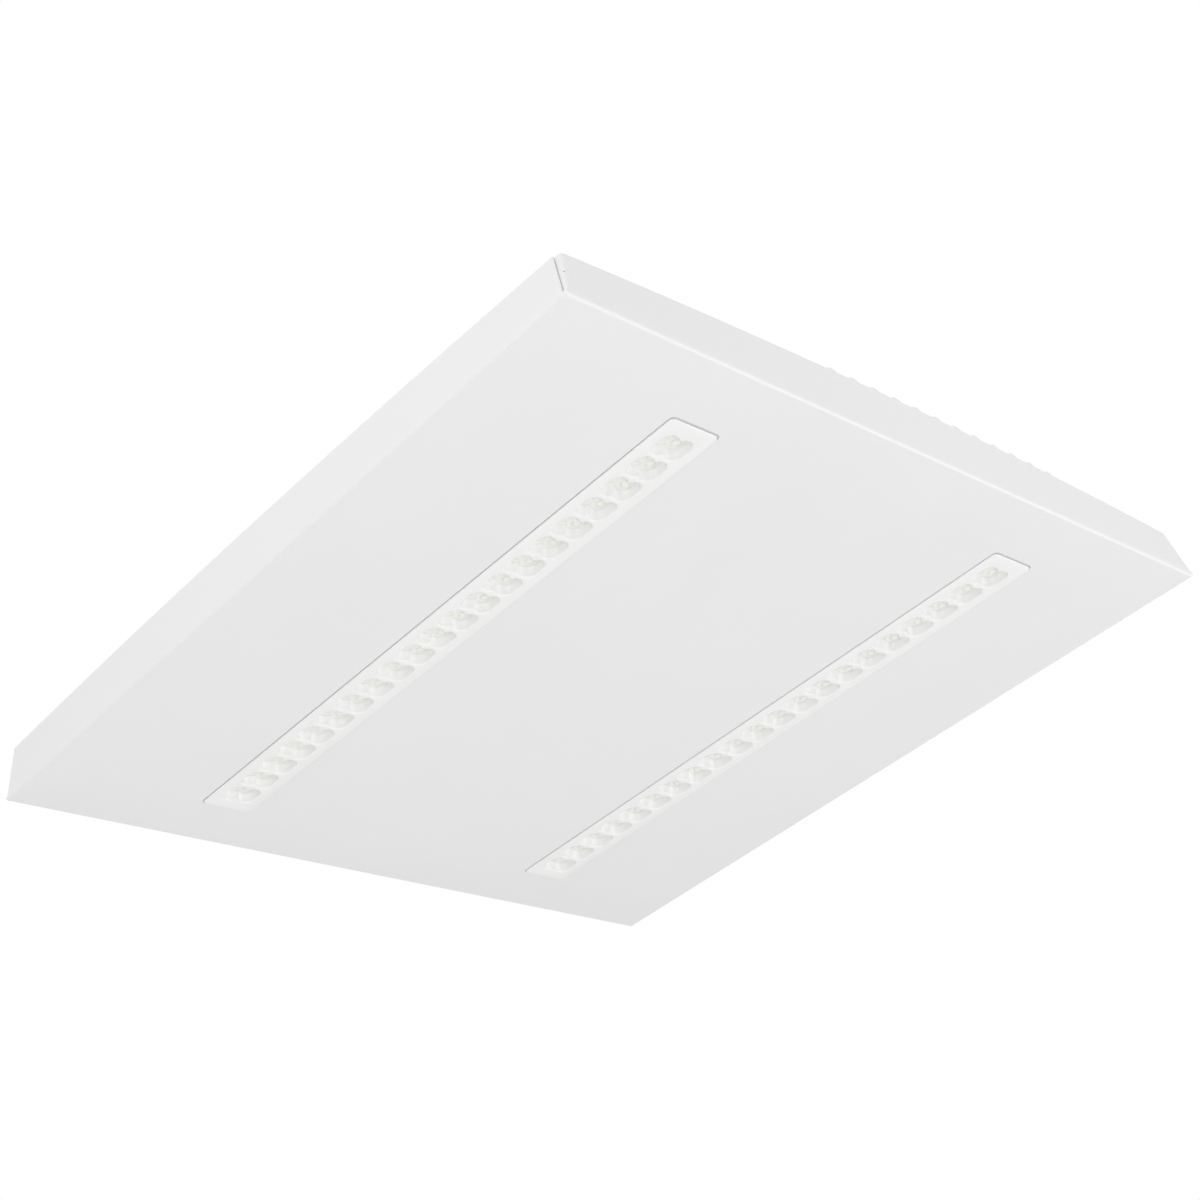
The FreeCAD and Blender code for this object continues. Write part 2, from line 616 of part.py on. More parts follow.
def vent_slots():
    """Row of cooling slots over the driver."""
    slot = moved(rounded_plate(46, 4, 1.95, COVER_TOP - 3, COVER_TOP + 2), x=DRIVER_X - 4)
    return Part.makeCompound([moved(slot, y=-4.0 + 12.0 * i) for i in range(14)])


def gear_cover():
    """Folded cover over the driver and the wiring bay, with the cover's half of the hinge."""
    half, foot, top = COVER_WIDTH / 2 - SHEET / 2, SHEET + SEAT + SHEET / 2, COVER_TOP - SHEET / 2
    side = [(-half - COVER_FOOT, foot), (-half, foot), (-half, top)]
    line = side + [(-x, z) for x, z in reversed(side)]
    end = COVER_LENGTH / 2.0
    shape = folded_sheet(line, -end, end, inner_radius=1.0)
    inside = COVER_WIDTH / 2 - SHEET
    plate = box(-inside, inside, end - SHEET, end, SHEET + SEAT, COVER_TOP - SHEET)
    shape = shape.fuse([plate, moved(plate, y=SHEET - 2 * end)])
    shape = shape.cut(holes(COVER_STUDS, STUD_HOLE, 0, 5))
    middle_x, middle_y = sum(ACCESS_X) / 2, sum(ACCESS_Y) / 2
    wide, long = ACCESS_X[1] - ACCESS_X[0], ACCESS_Y[1] - ACCESS_Y[0]
    access = rounded_plate(wide, long, 4, COVER_TOP - 3, COVER_TOP + 3)
    shape = shape.cut([moved(access, x=middle_x, y=middle_y), vent_slots()])
    shape = shape.cut(disc(GROMMET_AT[0], GROMMET_AT[1], GROMMET_HOLE, COVER_TOP - 3, COVER_TOP + 3))
    lead_z = lead_height()
    shape = shape.cut(box(-COVER_WIDTH, COVER_WIDTH, LEAD_Y - 5, LEAD_Y + 5, lead_z - 3.6, lead_z + 3.6))
    leaf = box(HINGE_X + 2.4, HINGE_X + 9.5, knuckle_spans()[0][0], knuckle_spans()[-1][1],
               COVER_TOP, COVER_TOP + SHEET)
    pieces = [leaf]
    for y0, y1, of_lid in knuckle_spans():
        if not of_lid:
            roll = knuckle(y0, y1, PIN_RADIUS + 0.02)
            web = box(HINGE_X, HINGE_X + 3, y0, y1, COVER_TOP, COVER_TOP + SHEET)
            pieces += [roll, web]
    return shape.fuse(pieces)


def access_lid():
    """Hinged lid over the wiring bay: pressed panel, finger lip, friction tongues, knuckles."""
    low = COVER_TOP + LID_LIFT
    x0, x1 = ACCESS_X[0] - LID_LAP, HINGE_X
    y0, y1 = ACCESS_Y[0] - LID_LAP, ACCESS_Y[1] + LID_LAP
    middle_x, middle_y = sum(ACCESS_X) / 2, sum(ACCESS_Y) / 2
    sheet = rounded_plate(x1 - x0, y1 - y0, 3, low, low + SHEET)
    sheet = moved(sheet, x=(x0 + x1) / 2, y=middle_y)
    lap = x1 - KNUCKLE_RADIUS - 0.6
    sheet = sheet.cut(box(lap, x1 + 1, y0 - 1, y1 + 1, low - 1, low + 2))
    wide, long = ACCESS_X[1] - ACCESS_X[0] - 6, ACCESS_Y[1] - ACCESS_Y[0] - 6
    deep = 1.6
    outer = Part.makeLoft([rounded_outline(wide, long, 6, low + SHEET),
                           rounded_outline(wide - 4, long - 4, 5, low - deep)], True, True)
    inner = Part.makeLoft([rounded_outline(wide - 1.2, long - 1.2, 6, low + SHEET),
                           rounded_outline(wide - 5.2, long - 5.2, 5, low - deep + SHEET)], True, True)
    sheet = sheet.fuse(moved(outer, x=middle_x, y=middle_y)).cut(moved(inner, x=middle_x, y=middle_y))
    pieces = [folded_sheet([(x0 + 3, low + SHEET / 2), (x0 + 0.4, low + SHEET / 2), (x0 + 0.4, low + 4.0)],
                           middle_y - 12, middle_y + 12)]
    for y in (y0 + 28, y1 - 28):
        tongue_x = ACCESS_X[0] + 1.2
        pieces.append(box(tongue_x, tongue_x + SHEET, y - 5, y + 5, low - 5.0, low + SHEET / 2))
    for start, stop, of_lid in knuckle_spans():
        if of_lid:
            bore = PIN_RADIUS + KNUCKLE_CLEARANCE
            leaf = box(lap - 0.5, HINGE_X, start, stop, low, low + SHEET)
            axis = Vec(HINGE_X, start, hinge_z())
            leaf = leaf.cut(Part.makeCylinder(bore, stop - start, axis, Vec(0, 1, 0)))
            pieces += [knuckle(start, stop, bore), leaf]
    return sheet.fuse(pieces)


def cable_grommet():
    """Rubber inlet for the mains cable, snapped into the cover."""
    low, high = COVER_TOP - SHEET, COVER_TOP
    neck, lip = GROMMET_HOLE - 0.1, GROMMET_HOLE + 2.2
    x, y = GROMMET_AT
    outline = [(GROMMET_BORE, low - 2.6), (lip - 1.4, low - 2.6), (lip, low - SEAT), (neck, low - SEAT),
               (neck, high + SEAT), (lip, high + SEAT), (lip - 0.6, high + 2.0), (GROMMET_BORE, high + 3.4)]
    points = [Vec(x + r, y, z) for r, z in outline]
    face = Part.Face(Part.makePolygon(points + points[:1]))
    return face.revolve(Vec(x, y, 0), Vec(0, 0, 1), 360)


# ---- driver and terminal ----
def driver_case():
    """Flat metal driver case with two fixing tabs and end recesses for its connectors."""
    low = SHEET + SEAT
    half = DRIVER_WIDTH / 2
    body = box(DRIVER_X - half, DRIVER_X + half, DRIVER_Y[0], DRIVER_Y[1], low, low + DRIVER_HEIGHT)
    long_edges = [e for e in body.Edges if e.BoundBox.ZMin > low + 1 and e.BoundBox.YLength > 50]
    body = body.makeFillet(2.0, long_edges)
    front, back = DRIVER_Y
    for y0, y1 in ((front - 1, front + DRIVER_RECESS), (back - DRIVER_RECESS, back + 1)):
        body = body.cut(box(DRIVER_X - half + 2, DRIVER_X + half - 2, y0, y1, low + DRIVER_SILL, low + 18))
    tabs = []
    for x, y in DRIVER_STUDS:
        inner = DRIVER_X + math.copysign(half - 1, x - DRIVER_X)
        outer = x + math.copysign(5.5, x - DRIVER_X)
        tab = box(min(inner, outer), max(inner, outer), y - 7, y + 7, low, low + 1.2)
        tabs.append(tab.cut(disc(x, y, STUD_HOLE, 0, 5)))
    return body.fuse(tabs)


def driver_connector(end, poles, pitch):
    """Row of push-in entries in the end of the driver."""
    low = SHEET + DRIVER_SILL + 2 * SEAT
    width = DRIVER_WIDTH - 4 - 2 * SEAT
    face = DRIVER_Y[0] if end < 0 else DRIVER_Y[1]
    y_in, y_out = face - end * (DRIVER_RECESS - SEAT), face + end * 4
    body = box(DRIVER_X - width / 2, DRIVER_X + width / 2, min(y_in, y_out), max(y_in, y_out),
               low, low + CONNECTOR_HEIGHT)
    entry_low, entry_high = low + 2.0, low + 5.0
    cuts = []
    for x in pole_places(DRIVER_X, poles, pitch):
        mouth = box(x - 1.5, x + 1.5, y_out - 8, y_out + 8, entry_low, entry_high)
        slot = box(x - 1.0, x + 1.0, y_out - 8, y_out + 8, low + 8.5, low + 12.5)
        cuts += [mouth, slot]
    reach = box(0, 100, min(y_out, y_out - end * 6), max(y_out, y_out - end * 6), 0, 40)
    return body.cut(Part.makeCompound(cuts).common(reach))


def pole_places(middle, poles, pitch):
    """Places of a row of poles round a middle."""
    return [middle + (i - (poles - 1) / 2.0) * pitch for i in range(poles)]


def button_box(x, grow, low, high):
    """Space of a release button over a pole, grown on its four sides."""
    y = BLOCK_CENTRE[1]
    return box(x - 2.3 - grow, x + 2.3 + grow, y - 3.5 - grow, y + 3.5 + grow, low, high)


def terminal_block():
    """Five-pole push-in terminal: button wells on top, funnels on both sides, fixing ears."""
    x0, y0 = BLOCK_CENTRE
    low = SHEET + SEAT
    length = len(POLES) * POLE_PITCH + 6
    body = box(x0 - length / 2, x0 + length / 2, y0 - BLOCK_HALF, y0 + BLOCK_HALF, low, TERMINAL_TOP)
    top_edges = [e for e in body.Edges if e.BoundBox.ZMin > low + 1 and e.BoundBox.XLength > 20]
    body = body.makeChamfer(4.0, top_edges)
    ears = box(x0 - length / 2 - 11, x0 + length / 2 + 11, y0 - 6, y0 + 6, low, low + 2.5)
    body = body.fuse(ears).cut(holes(TERMINAL_STUDS, STUD_HOLE, 0, 8))
    cuts = []
    for x in pole_places(x0, len(POLES), POLE_PITCH):
        cuts.append(button_box(x, BUTTON_PLAY, TERMINAL_TOP - 9, TERMINAL_TOP + 1))
        for side in (-1, 1):
            mouth = square_ring(x, y0 + side * BLOCK_HALF, FUNNEL_HEIGHT, 2.4)
            throat = square_ring(x, y0 + side * (BLOCK_HALF - 7.0), FUNNEL_HEIGHT, 1.4)
            cuts.append(Part.makeLoft([mouth, throat], True, True))
    return body.cut(Part.makeCompound(cuts))


def square_ring(x, y, z, half):
    """Square outline in an upright plane, the mouth or throat of a wire funnel."""
    corners = [(-half, -half), (half, -half), (half, half), (-half, half), (-half, -half)]
    return Part.makePolygon([Vec(x + dx, y, z + dz) for dx, dz in corners])


def release_button(index):
    """Release button of one pole, with a screwdriver slot in its crowned top."""
    x = pole_places(BLOCK_CENTRE[0], len(POLES), POLE_PITCH)[index]
    y = BLOCK_CENTRE[1]
    high = TERMINAL_TOP + BUTTON_TRAVEL + 0.4
    button = button_box(x, 0.0, TERMINAL_TOP - 6, high)
    button = button.makeFillet(0.8, [e for e in button.Edges if e.BoundBox.ZMin > high - 0.1])
    return button.cut(box(x - 0.5, x + 0.5, y - 2.4, y + 2.4, high - 0.9, high + 1))


def nut_group(places, z):
    """Nuts on a row of studs."""
    return Part.makeCompound([nut(x, y, z) for x, y in places])


# ---- inner wiring ----
def mains_wires():
    """Wires from the terminal to the driver's input."""
    z_driver = SHEET + DRIVER_SILL + DRIVER_ENTRY
    starts = pole_places(BLOCK_CENTRE[0], len(POLES), POLE_PITCH)
    ends = pole_places(DRIVER_X, len(POLES), INPUT_PITCH)
    y0, y1 = BLOCK_CENTRE[1] + 11.0, DRIVER_Y[0] - 1.0
    z = FUNNEL_HEIGHT
    wires = [tube([(a, y0, z), (a, y0 + 22, z), (b, y1 - 24, z_driver), (b, y1, z_driver)])
             for a, b in zip(starts, ends)]
    return Part.makeCompound(wires)


def lead_height():
    """Height of the leads where they cross to the strips."""
    return board_low() + BOARD_THICK + SEAT + LEAD_ENTRY


def strip_wires(side):
    """Pair of leads from the driver's output to one strip's connector."""
    z, z_driver = lead_height(), SHEET + DRIVER_SILL + DRIVER_ENTRY
    end = side * (STRIP_OFFSET - WINDOW[0] + 2.0)
    wires = []
    for i, dy in enumerate(LEAD_PAIR):
        x = DRIVER_X + side * OUTPUT_PITCH * (0.5 + i)
        y = LEAD_Y + dy
        wires.append(tube([(x, DRIVER_Y[1] + 1.0, z_driver), (x, y - 12.0, z_driver), (x + side * 12, y, z),
                           (end, y, z)]))
    return Part.makeCompound(wires)


def earth_lead():
    """Lead with a ring lug from the terminal's earth pole to the tray's earth stud."""
    x, y = EARTH_STUD
    low = SHEET + SEAT
    centre = low + 1.9
    lug = disc(x, y, 4.5, low, low + SHEET).fuse(box(x, x + 9, y - 2, y + 2, low, low + SHEET))
    lug = lug.cut(disc(x, y, STUD_RADIUS + 0.1, 0, 5))
    barrel = Part.makeCylinder(1.8, 7, Vec(x + 7, y, centre), Vec(1, 0, 0))
    pole_x, pole_y = BLOCK_CENTRE[0], BLOCK_CENTRE[1] - 11.0
    wire = tube([(x + 13, y, centre), (x + 30, y, centre + 1.0), (pole_x, y + 18, FUNNEL_HEIGHT - 1.0),
                 (pole_x, pole_y, FUNNEL_HEIGHT)])
    return lug.fuse([barrel, wire])


def nodes():
    """All sub-parts by name."""
    foot_top = 2 * SHEET + 2 * SEAT
    parts = {
        "tray": tray(),
        "board_screws": board_screws(),
        "carrier_nuts": nut_group(CARRIER_STUDS, foot_top),
        "suspension_brackets": suspension_brackets(),
        "bracket_rivets": bracket_rivets(),
        "gear_cover": gear_cover(),
        "gear_nuts": nut_group(COVER_STUDS, foot_top),
        "access_lid": access_lid(),
        "hinge_pin": hinge_pin(),
        "cable_grommet": cable_grommet(),
        "driver_case": driver_case(),
        "driver_input": driver_connector(-1, len(POLES), INPUT_PITCH),
        "driver_output": driver_connector(1, 4, OUTPUT_PITCH),
        "driver_nuts": nut_group(DRIVER_STUDS, SHEET + 2 * SEAT + 1.2),
        "terminal_block": terminal_block(),
        "terminal_nuts": nut_group(TERMINAL_STUDS, SHEET + 2 * SEAT + 2.5),
        "earth_nut": nut_group([EARTH_STUD], foot_top),
        "earth_lead": earth_lead(),
        "wires_mains": mains_wires(),
    }
    for name, side in (("left", -1), ("right", 1)):
        parts["louvre_" + name] = louvre(side)
        parts["lens_bar_" + name] = lens_bar(side)
        parts["led_board_" + name] = led_board(side)
        parts["leds_" + name] = leds(side)
        parts["carrier_" + name] = carrier(side)
        parts["led_connector_" + name] = led_connector(side)
        parts["wires_" + name] = strip_wires(side)
    for index, pole in enumerate(POLES):
        parts["release_button_" + pole] = release_button(index)
    return parts


def main():
    """Write one STEP file for each sub-part."""
    os.makedirs("parts", exist_ok=True)
    for name, shape in nodes().items():
        shape.exportStep("parts/" + name + ".step")
        print(name, "valid" if shape.isValid() else "NOT VALID", "solids", len(shape.Solids))


main()
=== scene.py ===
"""Looks of a recessed troffer light for a 600 mm ceiling grid.

The face looks down at z = 0, the ceiling side is up, and two rows of cell optics run
along Y. Sizes inside the classes are in millimetres and are scaled when a mesh is made,
apart from the studio's, which are in metres.
"""
import logging
import math
from dataclasses import dataclass, field
from enum import Enum
from functools import cache, cached_property
from typing import Callable, Iterable, Mapping, Sequence

import bmesh
import bpy
from bpy.types import ID, Material, Node, NodeSocket, NodeTree, Object
from mathutils import Matrix, Vector


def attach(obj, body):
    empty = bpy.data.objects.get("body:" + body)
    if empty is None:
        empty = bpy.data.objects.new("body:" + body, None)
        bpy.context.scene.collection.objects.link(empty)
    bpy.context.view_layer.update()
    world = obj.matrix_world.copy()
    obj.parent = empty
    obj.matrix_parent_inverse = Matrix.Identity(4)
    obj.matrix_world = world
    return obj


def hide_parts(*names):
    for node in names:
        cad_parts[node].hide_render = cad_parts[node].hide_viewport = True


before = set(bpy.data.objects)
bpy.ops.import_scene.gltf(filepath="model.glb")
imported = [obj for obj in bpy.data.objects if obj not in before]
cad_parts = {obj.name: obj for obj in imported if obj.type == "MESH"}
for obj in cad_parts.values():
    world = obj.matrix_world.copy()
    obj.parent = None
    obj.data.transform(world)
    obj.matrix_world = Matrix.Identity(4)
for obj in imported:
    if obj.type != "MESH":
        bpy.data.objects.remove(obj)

logging.basicConfig(level=logging.INFO, format="%(message)s")
log = logging.getLogger("troffer")

Point = tuple[float, float, float]
Flat = tuple[float, float]
Colour = tuple[float, float, float]
MM = 0.001
WELD = 1.0e-7
HOUSING = "housing"
STRIP_X = 152.0
CUP_PITCH = 22.6
ANY_TURN = 6.28
DUST_COLOUR = (0.55, 0.53, 0.50)
WHITE = (1.0, 1.0, 1.0, 1.0)


class Slot(Enum):
    """Slots of the record, passed along with some new pieces but not read; their finishes come from the palette."""

    WHITE_PAINT = "white_paint"
    OPTIC_WHITE = "optic_white"
    LENS_CLEAR = "lens_clear"
    LED_PHOSPHOR = "led_phosphor"
    ZINC_STEEL = "zinc_steel"
    RIVET_ALUMINIUM = "rivet_aluminium"
    WIRE_GREEN = "wire_green"
    WIRE_GREY = "wire_grey"
    WIRE_RED = "wire_red"


class Named(Enum):
    """Options whose names stand in the names of pieces, nodes and finishes."""

    @property
    def word(self) -> str:
        """The name in lower case."""
        return self.name.lower()


class Side(Named):
    """The two light strips, by the sign of their place along X."""

    LEFT = -1
    RIGHT = 1


class Insulation(Named):
    """Colours of the inner wires."""

    BROWN = (0.115, 0.045, 0.022)
    BLUE = (0.025, 0.105, 0.42)
    GREEN_YELLOW = (0.62, 0.56, 0.03)
    VIOLET = (0.20, 0.09, 0.36)
    GREY = (0.36, 0.37, 0.38)
    RED = (0.52, 0.03, 0.025)
    BLACK = (0.025, 0.025, 0.027)


# Weld studs of the tray by their nuts' node, with the seed of the nuts' turns and the height of their seat.
STUDS: tuple[tuple[str, int, float, tuple[Flat, ...]], ...] = (
    ("carrier_nuts", 1, 1.7, tuple((side.value * STRIP_X + flange * 31.0, y) for side in Side for flange in (-1, 1)
                                   for y in (-220.0, 0.0, 220.0))),
    ("gear_nuts", 2, 1.7, tuple((side.value * 84.0, y) for side in Side for y in (-180.0, -60.0, 60.0, 180.0))),
    ("driver_nuts", 4, 2.1, ((9.5, -15.0), (62.5, 155.0))),
    ("terminal_nuts", 6, 3.4, ((-34.0, -128.0), (24.0, -128.0))),
    ("earth_nut", 8, 1.7, ((-50.0, -176.0),)),
)


# ---- node graphs ----
class Graph:
    """A node tree under construction, with short calls to add and join nodes."""

    def __init__(self, tree: NodeTree) -> None:
        """Take hold of a tree."""
        self.tree = tree
        self.inputs: Mapping[str, NodeSocket] = {}

    def __getitem__(self, name: str) -> NodeSocket:
        """Input of the group that the tree makes."""
        return self.inputs[name]

    def add(self, kind: str, inputs: dict[str | int, object] | None = None, **settings: object) -> Node:
        """Add a node.

        Args:
            kind: the node's type name.
            inputs: values or sockets for its inputs, by socket name or index.
            **settings: properties of the node itself.

        Returns:
            The new node.
        """
        node = self.tree.nodes.new(kind)
        for key, value in settings.items():
            setattr(node, key, value)
        for key, value in (inputs or {}).items():
            self.put(value, node.inputs[key])
        return node

    def put(self, value: object, into: NodeSocket) -> None:
        """Link a socket into an input, or set a plain value there.

        Args:
            value: the socket or value.
            into: the input.
        """
        if isinstance(value, NodeSocket):
            self.tree.links.new(value, into)
        else:
            into.default_value = value

    @cached_property
    def place(self) -> NodeSocket:
        """Object coordinates."""
        return self.add("ShaderNodeTexCoord").outputs["Object"]

    def math(self, operation: str, first: object, second: object = 0.0) -> NodeSocket:
        """Result of one Math node."""
        return self.add("ShaderNodeMath", {0: first, 1: second}, operation=operation).outputs[0]

    def ramp(self, value: NodeSocket, low: float, high: float, start: float = 0.0, end: float = 1.0) -> NodeSocket:
        """Value spread from the range of low to high to that of start to end."""
        return self.add("ShaderNodeMapRange", {"Value": value, "From Min": low, "From Max": high,
                                               "To Min": start, "To Max": end}).outputs[0]

    def noise(self, scale: object, detail: float, roughness: float, place: NodeSocket | None = None) -> NodeSocket:
        """Value of a noise texture."""
        return self.add("ShaderNodeTexNoise", {"Vector": place or self.place, "Scale": scale, "Detail": detail,
                                               "Roughness": roughness}).outputs[0]

    def mix(self, factor: NodeSocket, first: object, second: object) -> NodeSocket:
        """Mix of two colours or sockets, the second where the factor is 1."""
        ends = [value if isinstance(value, NodeSocket) else (*value, 1.0) for value in (first, second)]
        return self.add("ShaderNodeMix", {0: factor, 6: ends[0], 7: ends[1]}, data_type="RGBA").outputs[2]


Ends = Sequence[NodeSocket]
Fill = Callable[[Graph], Ends]
Maker = Callable[[], NodeTree]
NUMBERS = {float: "NodeSocketFloat", int: "NodeSocketInt"}


def grown(kind: str, outputs: dict[str, float | str], **inputs: float | str) -> Callable[[Fill], Maker]:
    """Turn a function that fills a tree into one that gives the tree, built on first use.

    Args:
        kind: ShaderNodeTree or GeometryNodeTree.
        outputs: names of its outputs, with a number or a socket type each.
        **inputs: default value or socket type of each input.

    Returns:
        The decorator.
    """

    def decorate(fill: Fill) -> Maker:
        """Wrap one such function.

        Args:
            fill: the function, which joins up the nodes and gives what goes to the outputs.

        Returns:
            Function that gives the finished tree.
        """

        @cache
        def built() -> NodeTree:
            """Build the tree.

            Returns:
                The tree.
            """
            graph = Graph(bpy.data.node_groups.new(fill.__name__, kind))
            for sockets, way in ((inputs, "INPUT"), (outputs, "OUTPUT")):
                for name, value in sockets.items():
                    held = NUMBERS.get(type(value), value)
                    made = graph.tree.interface.new_socket(name=name, in_out=way, socket_type=held)
                    if held != value:
                        made.default_value = value
            graph.inputs = graph.add("NodeGroupInput").outputs
            graph.add("NodeGroupOutput", dict(zip(outputs, fill(graph))))
            return graph.tree

        return built

    return decorate


# ---- shared shader groups ----
PATTERN = {"Height": 0.0, "Tone": 0.0}


@grown("ShaderNodeTree", PATTERN, Grain=900.0, Drift=9.0)
def skin(graph: Graph) -> Ends:
    """Fine bumps of a coated or moulded surface, with a slow drift of its tone."""
    slow = graph.noise(graph["Drift"], 3.0, 0.6)
    return graph.noise(graph["Grain"], 2.0, 0.55), graph.ramp(slow, 0.3, 0.7)


@grown("ShaderNodeTree", PATTERN, Grain=1400.0, Stretch=0.02)
def streaks(graph: Graph) -> Ends:
    """Fine lines that rolling or drawing leaves along Y on metal.

    Args:
        graph: the group's graph.

    Returns:
        Height and tone.
    """
    along = graph.add("ShaderNodeCombineXYZ", {0: 1.0, 1: graph["Stretch"], 2: 1.0}).outputs[0]
    long = graph.add("ShaderNodeVectorMath", {0: graph.place, 1: along}, operation="MULTIPLY").outputs[0]
    line = graph.noise(graph["Grain"], 4.0, 0.65, long)
    return line, graph.ramp(line, 0.3, 0.7)


@grown("ShaderNodeTree", PATTERN, Grain=160.0)
def spangle(graph: Graph) -> Ends:
    """Crystal pattern of zinc on steel sheet: cells whose tone is random."""
    cell = graph.add("ShaderNodeTexVoronoi", {"Vector": graph.place, "Scale": graph["Grain"], "Randomness": 1.0})
    return cell.outputs["Distance"], graph.add("ShaderNodeRGBToBW", {"Color": cell.outputs["Color"]}).outputs[0]


@grown("ShaderNodeTree", {"Mask": 0.0}, Amount=0.3)
def settled(graph: Graph) -> Ends:
    """Patches of dust on what looks up.

    Args:
        graph: the group's graph.

    Returns:
        The mask.
    """
    normal = graph.add("ShaderNodeNewGeometry").outputs["Normal"]
    upward = graph.add("ShaderNodeSeparateXYZ", {0: normal}).outputs["Z"]
    patches = graph.ramp(graph.noise(28.0, 8.0, 0.7), 0.4, 0.75)
    both = graph.math("MULTIPLY", graph.ramp(upward, 0.7, 1.0), patches)
    return (graph.math("MULTIPLY", both, graph["Amount"]),)


@grown("ShaderNodeTree", {"Cup": 0.0, "Gap": 0.0}, Middle=STRIP_X * MM, Half=0.0135, Reach=0.240,
       Rim=-0.0009, Face=-0.0002, Back=0.0009)
def cells(graph: Graph) -> Ends:
    """Masks of the cups of both strips, painted paler as light, and of the narrow clearance round their noses, painted
    darker as shade.

    Args:
        graph: the group's graph.

    Returns:
        The two masks.
    """
    x, y, z = graph.add("ShaderNodeSeparateXYZ", {0: graph.place}).outputs
    away = graph.math("SUBTRACT", graph.math("ABSOLUTE", x), graph["Middle"])
    band = graph.math("MULTIPLY", graph.math("LESS_THAN", graph.math("ABSOLUTE", away), graph["Half"]),
                      graph.math("LESS_THAN", graph.math("ABSOLUTE", y), graph["Reach"]))
    level = graph.math("MULTIPLY", graph.math("GREATER_THAN", z, graph["Face"]),
                       graph.math("LESS_THAN", z, graph["Back"]))
    # The first mask carries painted light in the cups, the second painted shade in the clearance round the noses.
    return (graph.math("MULTIPLY", band, graph.ramp(z, graph["Rim"], graph["Face"])),
            graph.math("MULTIPLY", level, graph.math("SUBTRACT", 1.0, band)))


# ---- finishes ----
@dataclass(frozen=True)
class Finish:
    """A surface finish: plain values, the pattern that varies them, and its dust.

    Attributes:
        name: name of the material.
        colour: base colour.
        roughness: middle roughness.
        metallic: 1 for bare metal.
        grain: fine pattern per metre.
        drift: slow pattern per metre.
        relief: height of the bumps in metres.
        tone: share by which the colour darkens where the pattern is low.
        spread: how far the roughness swings.
        dust: amount of dust on what looks up.
        pattern: shader group that the pattern comes from.
    """

    name: str
    colour: Colour
    roughness: float = 0.45
    metallic: float = 0.0
    grain: float = 900.0
    drift: float = 9.0
    relief: float = 1.0e-5
    tone: float = 0.03
    spread: float = 0.08
    dust: float = 0.0
    pattern: Maker = skin

    def material(self) -> Material:
        """Build the material.

        Returns:
            The new material.
        """
        made = bpy.data.materials.new(self.name)
        made.use_nodes = True
        graph = Graph(made.node_tree)
        shader = made.node_tree.nodes["Principled BSDF"]
        shader.inputs["Metallic"].default_value = self.metallic
        pattern = graph.add("ShaderNodeGroup", node_tree=self.pattern())
        for name, value in (("Grain", self.grain), ("Drift", self.drift)):
            if name in pattern.inputs:
                pattern.inputs[name].default_value = value
        height, tone = pattern.outputs
        colour = self.shade(graph, tone)
        rough = graph.ramp(tone, 0.0, 1.0, self.roughness - self.spread, self.roughness + self.spread)
        if self.dust:
            mask = graph.add("ShaderNodeGroup", {"Amount": self.dust}, node_tree=settled()).outputs[0]
            colour = graph.mix(mask, colour, DUST_COLOUR)
            rough = graph.math("ADD", rough, mask)
        bump = graph.add("ShaderNodeBump", {"Height": height, "Distance": self.relief, "Strength": 1.0})
        for name, value in (("Base Color", colour), ("Roughness", rough), ("Normal", bump.outputs[0])):
            graph.put(value, shader.inputs[name])
        self.extras(graph, shader)
        return made

    def shade(self, graph: Graph, tone: NodeSocket) -> NodeSocket:
        """Colour over the surface, from the pattern's tone."""
        low = tuple(c * (1.0 - self.tone) for c in self.colour)
        return graph.mix(tone, low, self.colour)

    def extras(self, graph: Graph, shader: Node) -> None:
        """Set what a special finish adds; a plain one adds nothing."""


@dataclass(frozen=True)
class Clear(Finish):
    """Milky clear moulded plastic."""

    clearness: float = 0.12
    ior: float = 1.49

    def extras(self, graph: Graph, shader: Node) -> None:
        """Let part of the light through."""
        shader.inputs["Transmission Weight"].default_value = self.clearness
        shader.inputs["IOR"].default_value = self.ior


@dataclass(frozen=True)
class Reflector(Finish):
    """White moulding, painted paler in its cups than on its rims to lift their shade, and painted darker grey as shade
    in the narrow clearance round it.
    """

    # Painted light: paler colour inside the cups, lifting the shade there.
    inner: Colour = (0.885, 0.885, 0.88)
    # Painted shade: darker grey on the flange and nose sides in the clearance round the nose.
    gap: Colour = (0.68, 0.68, 0.68)

    def shade(self, graph: Graph, tone: NodeSocket) -> NodeSocket:
        """Rim colour, with painted light in the cups and painted shade in the clearance round the nose."""
        cup, gap = graph.add("ShaderNodeGroup", node_tree=cells()).outputs
        return graph.mix(gap, graph.mix(cup, super().shade(graph, tone), self.inner), self.gap)


@dataclass(frozen=True)
class Backdrop(Finish):
    """Pale floor that the camera sees nearly white, with the shadow kept."""

    lift: float = 0.30

    def extras(self, graph: Graph, shader: Node) -> None:
        """Add a little white for camera rays alone.

        Args:
            graph: the material's graph.
            shader: its shader.
        """
        seen = graph.add("ShaderNodeLightPath").outputs["Is Camera Ray"]
        shader.inputs["Emission Color"].default_value = WHITE
        graph.put(graph.math("MULTIPLY", seen, self.lift), shader.inputs["Emission Strength"])


@dataclass(frozen=True)
class Coated(Finish):
    """Paint or solder mask with a thin clear gloss on top."""

    coat: float = 0.25
    coat_roughness: float = 0.3

    def extras(self, graph: Graph, shader: Node) -> None:
        """Add the clear layer."""
        shader.inputs["Coat Weight"].default_value = self.coat
        shader.inputs["Coat Roughness"].default_value = self.coat_roughness


